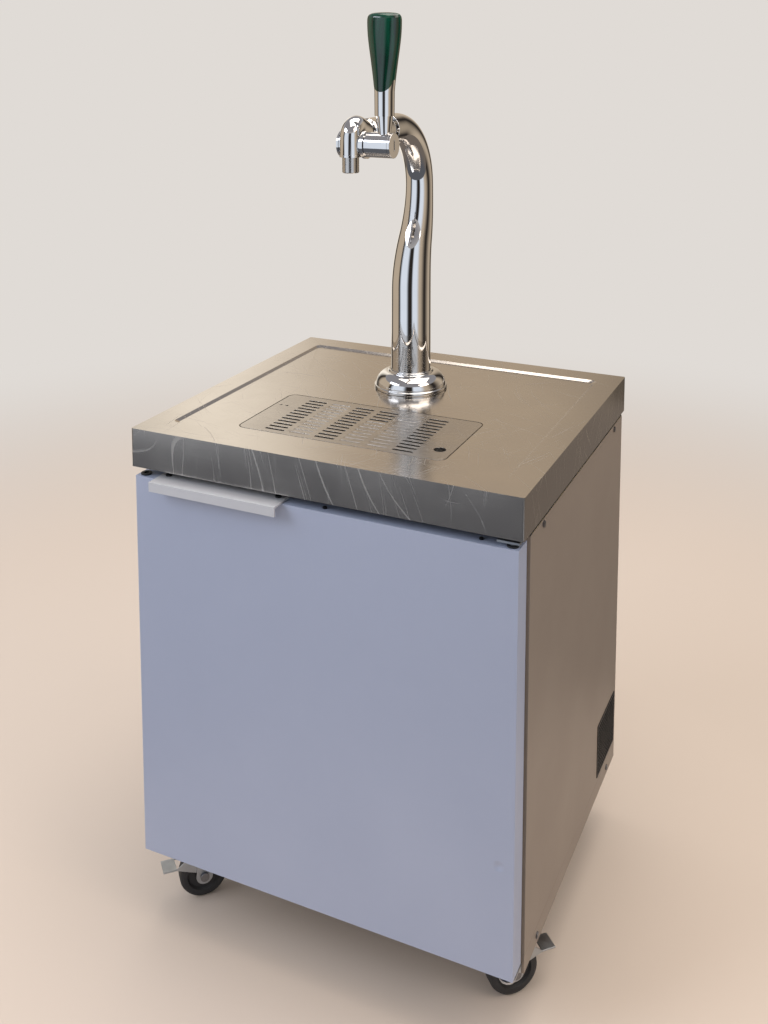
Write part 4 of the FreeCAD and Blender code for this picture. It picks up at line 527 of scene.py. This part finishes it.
def smooth(piece: bpy.types.Object, sharp: float = 32.0) -> None:
    """Shades a piece smooth up to an edge angle in degrees."""
    piece.data.shade_smooth()
    piece.data.set_sharp_from_angle(angle=math.radians(sharp))


class ReflectedRoomColour(Enum):
    """The few colours of the studio's round glowing wall: painted reflections of a room, shown only in metal."""

    PLASTER = "#B8A894"
    CURTAIN = "#2A2624"
    WINDOW = "#DCE4F0"
    SOFTBOX = "#FFF6E8"


@dataclass
class Studio:
    """Pale floor, soft lights and the camera of the photograph."""

    camera_at: tuple[float, float, float] = (0.70397, -1.5554, 1.35672)
    azimuth: float = 24.803
    elevation: float = 6.512
    focal_px: float = 1126.69
    centre_px: float = 163.6
    picture_height: float = 1024.0
    sensor_mm: float = 36.0
    floor: str = "#CBBBAC"
    sky: str = "#E0DBD6"
    ceiling: str = "#98969A"
    floor_half: float = 14.0
    floor_drop: float = 0.0005
    fade_from: float = 1.3
    fade_to: float = 3.2
    ring_steps: int = 96
    wall_radius: float = 2.6
    wall_top: float = 2.5
    wall_glow: float = 1.25
    # The glowing wall's colours by share of a turn, from west through south, east and north: painted reflections of
    # plaster, curtains, windows and a softbox.
    wall: tuple[tuple[float, ReflectedRoomColour], ...] = (
        (0.00, ReflectedRoomColour.PLASTER), (0.08, ReflectedRoomColour.PLASTER), (0.11, ReflectedRoomColour.CURTAIN), (0.15, ReflectedRoomColour.WINDOW),
        (0.23, ReflectedRoomColour.WINDOW), (0.28, ReflectedRoomColour.CURTAIN), (0.32, ReflectedRoomColour.CURTAIN), (0.35, ReflectedRoomColour.WINDOW),
        (0.40, ReflectedRoomColour.WINDOW), (0.46, ReflectedRoomColour.PLASTER), (0.55, ReflectedRoomColour.CURTAIN), (0.66, ReflectedRoomColour.PLASTER),
        (0.72, ReflectedRoomColour.CURTAIN), (0.79, ReflectedRoomColour.PLASTER), (0.82, ReflectedRoomColour.PLASTER), (0.86, ReflectedRoomColour.SOFTBOX),
        (0.92, ReflectedRoomColour.CURTAIN), (0.97, ReflectedRoomColour.PLASTER),
    )
    # Ring that glows only in metal: a painted reflection of the floor in shade, its inner radius, height and colours
    # in front and behind.
    floor_reflection_inner: float = 0.75
    floor_reflection_height: float = 0.002
    floor_reflection_front: str = "#62646A"
    floor_reflection_back: str = "#7A7068"

    def build(self) -> None:
        """Builds floor, glowing wall, painted floor reflection, lights, world and camera."""
        self._floor()
        self._wall()
        self._shaded_floor_reflection()
        self._world()
        self._lights()
        self._camera()

    def _floor(self) -> None:
        """Lays a wide plain floor that runs out into the backdrop's colour."""
        mesh = bpy.data.meshes.new("floor")
        half = self.floor_half
        mesh.from_pydata([(-half, -half, 0), (half, -half, 0), (half, half, 0), (-half, half, 0)], [], [(0, 1, 2, 3)])
        material = Plastic("pale_plain_floor", self.floor, self.floor, 0.7, 6.0, 0.02, 900, specular=0.2).make()
        tree = material.node_tree
        place = add_node(tree, "ShaderNodeTexCoord").outputs["Object"]
        away = add_node(tree, "ShaderNodeVectorMath", {"operation": "LENGTH"}, {0: place}).outputs["Value"]
        fade = add_node(tree, "ShaderNodeMapRange", {
            "interpolation_type": "SMOOTHSTEP", "From Min": self.fade_from, "From Max": self.fade_to},
            {"Value": away}).outputs["Result"]
        seen = self._seen(tree)
        share = add_node(tree, "ShaderNodeMath", {"operation": "MULTIPLY"}, {0: fade, 1: seen}).outputs[0]
        glow = add_node(tree, "ShaderNodeEmission", {"Color": linear(self.sky)})
        mixed = add_node(tree, "ShaderNodeMixShader", {}, {
            0: share, 1: tree.nodes["Principled BSDF"].outputs[0], 2: glow.outputs[0]})
        tree.links.new(mixed.outputs[0], tree.nodes["Material Output"].inputs["Surface"])
        floor = add_piece("floor", mesh, material)
        floor.location.z = -self.floor_drop

    @staticmethod
    def _seen(tree: bpy.types.NodeTree) -> bpy.types.NodeSocket:
        """Returns 1 for rays from the camera, a mirror or glass and 0 for the light between dull surfaces."""
        path = add_node(tree, "ShaderNodeLightPath")
        both = add_node(tree, "ShaderNodeMath", {"operation": "MAXIMUM"}, {
            0: path.outputs["Is Camera Ray"], 1: path.outputs["Is Transmission Ray"]})
        return add_node(tree, "ShaderNodeMath", {"operation": "MAXIMUM"}, {
            0: both.outputs[0], 1: path.outputs["Is Glossy Ray"]}).outputs[0]

    def _ring(self, name: str, rows: tuple[tuple[float, float], ...]) -> bpy.types.Mesh:
        """Joins two level circles, each given by radius and height, into an open band."""
        steps = self.ring_steps
        points = [(p.x, p.y, height) for radius, height in rows
                  for p in circle(Vector((0, 0, 0)), Vector((0, 0, 1)), radius, steps)]
        faces = [(i, (i + 1) % steps, (i + 1) % steps + steps, i + steps) for i in range(steps)]
        mesh = bpy.data.meshes.new(name)
        mesh.from_pydata(points, [], faces)
        return mesh

    @staticmethod
    def _bare(name: str) -> tuple[bpy.types.Material, bpy.types.Node]:
        """Starts a glowing material.

        Args:
            name: Name of the material.

        Returns:
            The material, and a node with the coordinates of the piece as X, Y and Z.
        """
        material = bpy.data.materials.new(name)
        material.use_nodes = True
        tree = material.node_tree
        tree.nodes.remove(tree.nodes["Principled BSDF"])
        return material, add_node(tree, "ShaderNodeSeparateXYZ", {}, {
            0: add_node(tree, "ShaderNodeTexCoord").outputs["Object"]})

    def _wall(self) -> None:
        """Stands a round glowing wall that only metal mirrors: painted reflections of a room."""
        mesh = self._ring("studio_wall", ((self.wall_radius, 0.0), (self.wall_radius, self.wall_top)))
        material, split = self._bare("reflection_only_glowing_wall")
        tree = material.node_tree
        turn = add_node(tree, "ShaderNodeMath", {"operation": "ARCTAN2"},
                        {0: split.outputs["Y"], 1: split.outputs["X"]}).outputs[0]
        share = add_node(tree, "ShaderNodeMapRange", {
            "From Min": -math.pi, "From Max": math.pi}, {"Value": turn}).outputs["Result"]
        paint = add_node(tree, "ShaderNodeValToRGB", {}, {"Fac": share})
        band = paint.color_ramp
        band.interpolation = "EASE"
        while len(band.elements) < len(self.wall):
            band.elements.new(0.5)
        for element, (at, colour) in zip(band.elements, self.wall):
            element.position = at
            element.color = linear(colour.value)
        glow = add_node(tree, "ShaderNodeEmission", {"Strength": self.wall_glow}, {"Color": paint.outputs["Color"]})
        tree.links.new(glow.outputs[0], tree.nodes["Material Output"].inputs["Surface"])
        self._mirror_only(add_piece("studio_wall", mesh, material))

    def _shaded_floor_reflection(self) -> None:
        """Lays a glowing ring round the object that only metal mirrors: a painted reflection of the floor in shade,
        bluish grey in front and brown behind.
        """
        mesh = self._ring("shaded_floor_reflection_ring", ((self.floor_reflection_inner, self.floor_reflection_height), (self.wall_radius, self.floor_reflection_height)))
        material, split = self._bare("painted_shaded_floor_reflection")
        tree = material.node_tree
        behind = add_node(tree, "ShaderNodeMapRange", {"From Min": -0.3, "From Max": 0.6},
                          {"Value": split.outputs["Y"]}).outputs["Result"]
        colour = add_node(tree, "ShaderNodeMix", {
            "data_type": "RGBA", 6: linear(self.floor_reflection_front), 7: linear(self.floor_reflection_back)}, {0: behind}).outputs[2]
        glow = add_node(tree, "ShaderNodeEmission", {"Strength": 1.0}, {"Color": colour})
        tree.links.new(glow.outputs[0], tree.nodes["Material Output"].inputs["Surface"])
        self._mirror_only(add_piece("shaded_floor_reflection_ring", mesh, material))

    @staticmethod
    def _mirror_only(piece: bpy.types.Object) -> None:
        """Sets a piece to show in metal and to give the dull surfaces neither light nor shade."""
        piece.visible_camera = piece.visible_diffuse = False
        piece.visible_shadow = piece.visible_transmission = False

    def _world(self) -> None:
        """Lights the scene evenly under a pale backdrop."""
        world = bpy.data.worlds.new("studio")
        bpy.context.scene.world = world
        world.use_nodes = True
        tree = world.node_tree
        tree.nodes.clear()
        split = add_node(tree, "ShaderNodeSeparateXYZ", {}, {
            0: add_node(tree, "ShaderNodeTexCoord").outputs["Generated"]})
        up = add_node(tree, "ShaderNodeMapRange", {"From Min": 0.3, "From Max": 0.6},
                      {"Value": split.outputs["Z"]}).outputs["Result"]
        colour = add_node(tree, "ShaderNodeMix", {
            "data_type": "RGBA", 6: linear(self.sky), 7: linear(self.ceiling)}, {0: up}).outputs[2]
        backdrop = add_node(tree, "ShaderNodeBackground", {"Strength": 1.0}, {"Color": colour})
        even = add_node(tree, "ShaderNodeBackground", {"Color": linear("#E8EAEE"), "Strength": 0.8})
        shown = add_node(tree, "ShaderNodeMixShader", {}, {
            0: self._seen(tree), 1: even.outputs[0], 2: backdrop.outputs[0]})
        add_node(tree, "ShaderNodeOutputWorld", {}, {"Surface": shown.outputs[0]})

    def _lights(self) -> None:
        """Hangs three large soft lamps."""
        self._lamp("key_window", (-2.4, -2.4, 2.7), (0.0, 0.0, 0.6), 2.2, 92.0, "#E6EDFA")
        self._lamp("top_softbox", (0.4, 0.3, 3.6), (0.0, 0.0, 0.7), 2.6, 72.0, "#FFF7EE")
        self._lamp("right_fill", (2.9, -0.6, 2.9), (0.0, 0.0, 0.5), 2.0, 36.0, "#FFF0E2")

    def _lamp(self, name: str, at: tuple[float, float, float], aim: tuple[float, float, float], size: float,
              watts: float, colour: str) -> None:
        """Adds one square lamp aimed at a point."""
        data = bpy.data.lights.new(name, "AREA")
        data.size = size
        data.energy = watts
        data.color = linear(colour)[:3]
        lamp = bpy.data.objects.new(name, data)
        lamp.location = at
        lamp.rotation_euler = (Vector(aim) - Vector(at)).to_track_quat("-Z", "Y").to_euler()
        bpy.context.scene.collection.objects.link(lamp)

    def _camera(self) -> None:
        """Sets the camera where the photograph was taken."""
        data = bpy.data.cameras.new("camera")
        data.sensor_width = self.sensor_mm
        data.sensor_fit = "AUTO"
        data.lens = self.focal_px * self.sensor_mm / self.picture_height
        data.shift_y = -(self.picture_height / 2 - self.centre_px) / self.picture_height
        camera = bpy.data.objects.new("camera", data)
        camera.location = self.camera_at
        camera.rotation_euler = (math.radians(90 - self.elevation), 0.0, math.radians(self.azimuth))
        bpy.context.scene.collection.objects.link(camera)
        bpy.context.scene.camera = camera
        bpy.context.scene.view_settings.view_transform = "Standard"


@dataclass
class Casing:
    """Base frame, panels, liner and the frame round the door opening."""

    finishes: Finishes
    body: str = "cabinet"
    edge_mm: float = 0.8

    def build(self) -> None:
        """Dresses the casing."""
        f = self.finishes
        for node in ("left_side_panel", "right_side_panel"):
            soften(node, self.body, f.side_coat_painted_warm_reflection, self.edge_mm)
        soften("base_frame", self.body, f.side_coat_painted_warm_reflection, self.edge_mm)
        for node, material in {
            "floor_panel": f.galvanised, "back_panel": f.galvanised, "side_grille": f.black_moulding,
            "inner_liner": f.liner, "foam_insulation": f.foam, "front_frame": f.trim,
            "worktop_subframe": f.powder, "worktop_board": f.plywood, "side_screws": f.screws,
            "hinge_brackets": f.zinc, "hinge_pins": f.screws, "castor_plates": f.zinc,
        }.items():
            dress(node, material)


@dataclass
class Worktop:
    """Pressed stainless worktop."""

    finishes: Finishes
    body: str = "cabinet"
    edge_mm: float = 1.3

    def build(self) -> None:
        """Rounds the pressed edges."""
        soften("worktop", self.body, self.finishes.worktop, self.edge_mm, 14.0)


@dataclass
class DripTray:
    """Lift-out pan and slotted lid."""

    finishes: Finishes
    edge_mm: float = 0.25

    def build(self) -> None:
        """Dresses pan and lid."""
        dress("tray_pan", self.finishes.pan)
        soften("tray_lid", "drip_lid", self.finishes.lid, self.edge_mm, segments=2)


@dataclass
class Door:
    """Door skin, handle, gasket and hinge bushes."""

    finishes: Finishes
    body: str = "door"
    edge_mm: float = 1.1

    def build(self) -> None:
        """Dresses the door."""
        f = self.finishes
        soften("door_skin", self.body, f.door_coat_painted_cool_reflection, self.edge_mm)
        soften("door_handle", self.body, f.anodised, 0.7)
        soften("hinge_bushes", self.body, f.black_moulding, 0.5)
        for node, material in {
            "door_foam": f.foam, "door_inner_panel": f.liner, "door_gasket": f.gasket,
            "door_screws": f.black_screws,
        }.items():
            dress(node, material)


@dataclass
class Tower:
    """Domed flange and swan-neck column, sizes in millimetres."""

    finishes: Finishes
    body: str = "cabinet"
    foot: tuple[float, float, float] = (-12.2, 99.5, 783.0)
    base_radius: float = 32.4
    waist_radius: float = 32.1
    neck_radius: float = 22.6
    wall: float = 2.0
    straight: float = 160.0
    lean: float = 33.0
    lean_height: float = 167.0
    taper_end: float = 335.0
    crook: float = 102.0
    neck_height: float = 431.0
    end_y: float = 4.5
    step: float = 4.0

    def _radius(self, height: float) -> float:
        """Returns the outer radius at a height over the worktop."""
        if height <= self.straight:
            return self.base_radius + (self.waist_radius - self.base_radius) * height / self.straight
        share = min(1.0, (height - self.straight) / (self.taper_end - self.straight))
        return self.waist_radius + (self.neck_radius - self.waist_radius) * share * share * (3 - 2 * share)

    def _line(self) -> list[tuple[Vector, Vector]]:
        """Works out the centre line.

        Returns:
            Points along the line from the worktop to the neck ring, each with its direction.
        """
        foot = Vector(self.foot)
        bend = (self.lean_height ** 2 + self.lean ** 2) / (4 * self.lean)
        turn = math.asin(self.lean_height / 2 / bend)
        up = Vector((0, 0, 1))
        line = [(foot + up * (self.straight * i / 24), up) for i in range(24)]
        arc = max(8, round(bend * turn / self.step))
        low = foot + up * self.straight
        high = low + Vector((0, self.lean, self.lean_height))
        for i in range(arc):
            angle = turn * i / arc
            line.append((low + Vector((0, bend * (1 - math.cos(angle)), bend * math.sin(angle))),
                         Vector((0, math.sin(angle), math.cos(angle)))))
        for i in range(arc, -1, -1):
            angle = turn * i / arc
            line.append((high - Vector((0, bend * (1 - math.cos(angle)), bend * math.sin(angle))),
                         Vector((0, math.sin(angle), math.cos(angle)))))
        neck_z = foot.z + self.neck_height
        centre = Vector((foot.x, high.y - self.crook, neck_z - self.crook))
        line.append(((high + Vector((foot.x, high.y, centre.z))) / 2, up))
        for i in range(49):
            angle = math.pi / 2 * i / 48
            line.append((centre + Vector((0, self.crook * math.cos(angle), self.crook * math.sin(angle))),
                         Vector((0, -math.sin(angle), math.cos(angle)))))
        line.append((Vector((foot.x, self.end_y, neck_z)), Vector((0, -1, 0))))
        return line

    def _column(self) -> None:
        """Draws the bent and swaged tube with its inner wall."""
        outer = []
        inner = []
        for at, along in self._line():
            radius = self._radius(at.z - self.foot[2])
            outer.append(circle(at, along, radius))
            inner.append(circle(at, along, radius - self.wall))
        mesh = skin(outer + inner[::-1], "swan_neck_tube", looped=True)
        column = add_piece("swan_neck_column", mesh, self.finishes.chrome)
        smooth(column, 40.0)
        stand_in(column, self.body, "tower_column")

    def build(self) -> None:
        """Builds the column and dresses the rest of the tower."""
        f = self.finishes
        self._column()
        soften("tower_flange", self.body, f.chrome, 1.2, 20.0)
        soften("neck_ring", self.body, f.chrome, 1.0)
        soften("tap_body", self.body, f.chrome, 0.8)
        soften("tap_spout", self.body, f.spout, 0.4)


@dataclass
class Lever:
    """Hub, end cap, chrome stem and green grip, sizes in millimetres."""

    finishes: Finishes
    body: str = "tap_lever"
    axis: tuple[float, float, float] = (35.6, -107.5, 1200.8)
    stem_start: float = 42.2
    stem_radius: float = 14.4
    grip_start: float = 76.4
    grip_height: float = 111.3
    half_width: float = 26.0
    half_depth: float = 17.0
    parting: float = 2.0
    # Height, half width and half depth along the grip, as shares of its size.
    shape_shares: tuple[tuple[float, float, float], ...] = (
        (0.00, 0.565, 0.860), (0.10, 0.612, 0.860), (0.20, 0.668, 0.860), (0.40, 0.790, 0.885),
        (0.57, 0.895, 0.945), (0.72, 0.970, 0.985), (0.86, 0.998, 0.985), (0.92, 0.990, 0.955),
        (0.955, 0.945, 0.880), (0.980, 0.830, 0.720), (0.994, 0.600, 0.480), (1.000, 0.280, 0.210),
    )

    def _section(self, height: float) -> tuple[float, float]:
        """Returns half width and half depth of the lever at a height over its axis."""
        share = (height - self.grip_start) / self.grip_height
        rows = self.shape_shares
        if share <= 0:
            ease = (height - self.stem_start) / (self.grip_start - self.stem_start)
            wide, deep = self.half_width * rows[0][1], self.half_depth * rows[0][2]
            return (self.stem_radius + (wide - self.stem_radius) * ease,
                    self.stem_radius + (deep - self.stem_radius) * ease)
        at = max(i for i in range(len(rows) - 1) if rows[i][0] <= share)
        before, low, high, after = (rows[max(at - 1, 0)], rows[at], rows[at + 1], rows[min(at + 2, len(rows) - 1)])
        span = high[0] - low[0]
        t = (share - low[0]) / span
        values = []
        for k in (1, 2):
            rise_low = (high[k] - before[k]) / (high[0] - before[0]) * span
            rise_high = (after[k] - low[k]) / (after[0] - low[0]) * span
            values.append((2 * t ** 3 - 3 * t ** 2 + 1) * low[k] + (t ** 3 - 2 * t ** 2 + t) * rise_low
                          + (3 * t ** 2 - 2 * t ** 3) * high[k] + (t ** 3 - t ** 2) * rise_high)
        return self.half_width * values[0], self.half_depth * values[1]

    def _blank(self, name: str, grow: float) -> bpy.types.Mesh:
        """Draws the whole lever above its collar as one skin through ovals.

        Args:
            name: Name of the mesh.
            grow: How far it stands outside its true size.

        Returns:
            A closed mesh.
        """
        tip = self.grip_start + self.grip_height
        heights = [self.stem_start + (tip - self.stem_start) * (1 - (1 - i / 90) ** 1.35) for i in range(91)]
        rings = []
        for height in heights:
            wide, deep = self._section(min(height, tip))
            rings.append([Vector((
                self.axis[0] + (wide + grow) * math.cos(t), self.axis[1] + (deep + grow) * math.sin(t),
                self.axis[2] + height)) for t in (2 * math.pi * i / 96 for i in range(96))])
        return skin(rings, name)

    def _field(self) -> bpy.types.Mesh:
        """Draws the U-shaped block in front of the parting plane that bounds the lens."""
        half = self.half_width * self.shape_shares[0][1]
        low = self.axis[2] + self.grip_start
        wide = self.half_width * 2
        outline = [(wide, low + self.grip_height * 1.2), (-wide, low + self.grip_height * 1.2),
                   (-wide, low + self.grip_height / 2)]
        outline += [(-half * math.cos(t), low + half - half * math.sin(t))
                    for t in (math.pi * i / 24 for i in range(25))]
        outline.append((wide, low + self.grip_height / 2))
        parting = self.axis[1] + self.parting
        rings = [[Vector((self.axis[0] + x, y, z)) for x, z in outline]
                 for y in (parting, parting - self.half_depth * 2)]
        return skin(rings, "lens_field")

    def _grip(self) -> None:
        """Splits the lever into its chrome back and the clear green lens in front."""
        field_block = bpy.data.objects.new("lens_field", self._field())
        bpy.context.scene.collection.objects.link(field_block)
        for node, name, operation, material, grow in (
                ("lever_stem", "lever_stem_cast", "DIFFERENCE", self.finishes.chrome, 0.0),
                ("grip_lens", "grip_lens_moulded", "INTERSECT", self.finishes.grip, 0.0)):
            piece = add_piece(name, self._blank(name, grow), material)
            split = piece.modifiers.new("parting", "BOOLEAN")
            split.operation = operation
            split.object = field_block
            split.solver = "EXACT"
            settled = bpy.data.meshes.new_from_object(
                piece.evaluated_get(bpy.context.evaluated_depsgraph_get()))
            piece.modifiers.clear()
            piece.data = settled
            settled.materials.clear()
            settled.materials.append(material)
            edge = piece.modifiers.new("rounded_edges", "BEVEL")
            edge.width = 0.5 * MM
            edge.segments = 2
            edge.limit_method = "ANGLE"
            edge.angle_limit = math.radians(50)
            smooth(piece, 40.0)
            stand_in(piece, self.body, node)
        bpy.data.objects.remove(field_block)

    def build(self) -> None:
        """Builds the grip and dresses the rest of the lever."""
        f = self.finishes
        soften("lever_hub", self.body, f.chrome, 0.8)
        soften("hub_end_cap", self.body, f.chrome, 0.6)
        soften("valve_plug", self.body, f.chrome, 0.8)
        self._grip()


@dataclass
class Cooling:
    """Compressor, condenser, fan, evaporator, thermostat, power inlet and beer line."""

    finishes: Finishes
    nodes: tuple[str, ...] = field(default=("compressor", "condenser", "fan_frame", "fan_blades"))

    def build(self) -> None:
        """Dresses the machine bay and the chamber's fittings."""
        f = self.finishes
        for node, material in {
            "compressor": f.enamel, "condenser": f.fins, "fan_frame": f.black_moulding,
            "fan_blades": f.black_moulding, "evaporator_plate": f.plate, "thermostat_housing": f.white_moulding,
            "thermostat_knob": f.black_moulding, "power_inlet": f.black_moulding, "beer_line": f.hose,
            "line_end_nut": f.brass, "line_clips": f.white_moulding,
        }.items():
            dress(node, material)


@dataclass
class Castor:
    """One swivel castor."""

    finishes: Finishes
    name: str
    braked: bool

    def build(self) -> None:
        """Dresses fork, axle, wheel and brake pedal."""
        f = self.finishes
        soften(f"{self.name}_fork", self.name, f.zinc, 0.5)
        soften(f"{self.name}_axle", self.name, f.screws, 0.6)
        dress(f"{self.name}_wheel", f.tyre)
        if self.braked:
            soften(f"{self.name}_pedal", f"{self.name}_brake", f.zinc, 0.4)


def main() -> None:
    """Builds the whole scene in order."""
    logging.basicConfig(level=logging.INFO, format="%(name)s: %(message)s")
    Studio().build()
    finishes = Finishes()
    Casing(finishes).build()
    Worktop(finishes).build()
    DripTray(finishes).build()
    Door(finishes).build()
    Tower(finishes).build()
    Lever(finishes).build()
    Cooling(finishes).build()
    for side in ("left", "right"):
        Castor(finishes, f"front_{side}_castor", True).build()
        Castor(finishes, f"rear_{side}_castor", False).build()


if __name__ == "__main__":
    main()
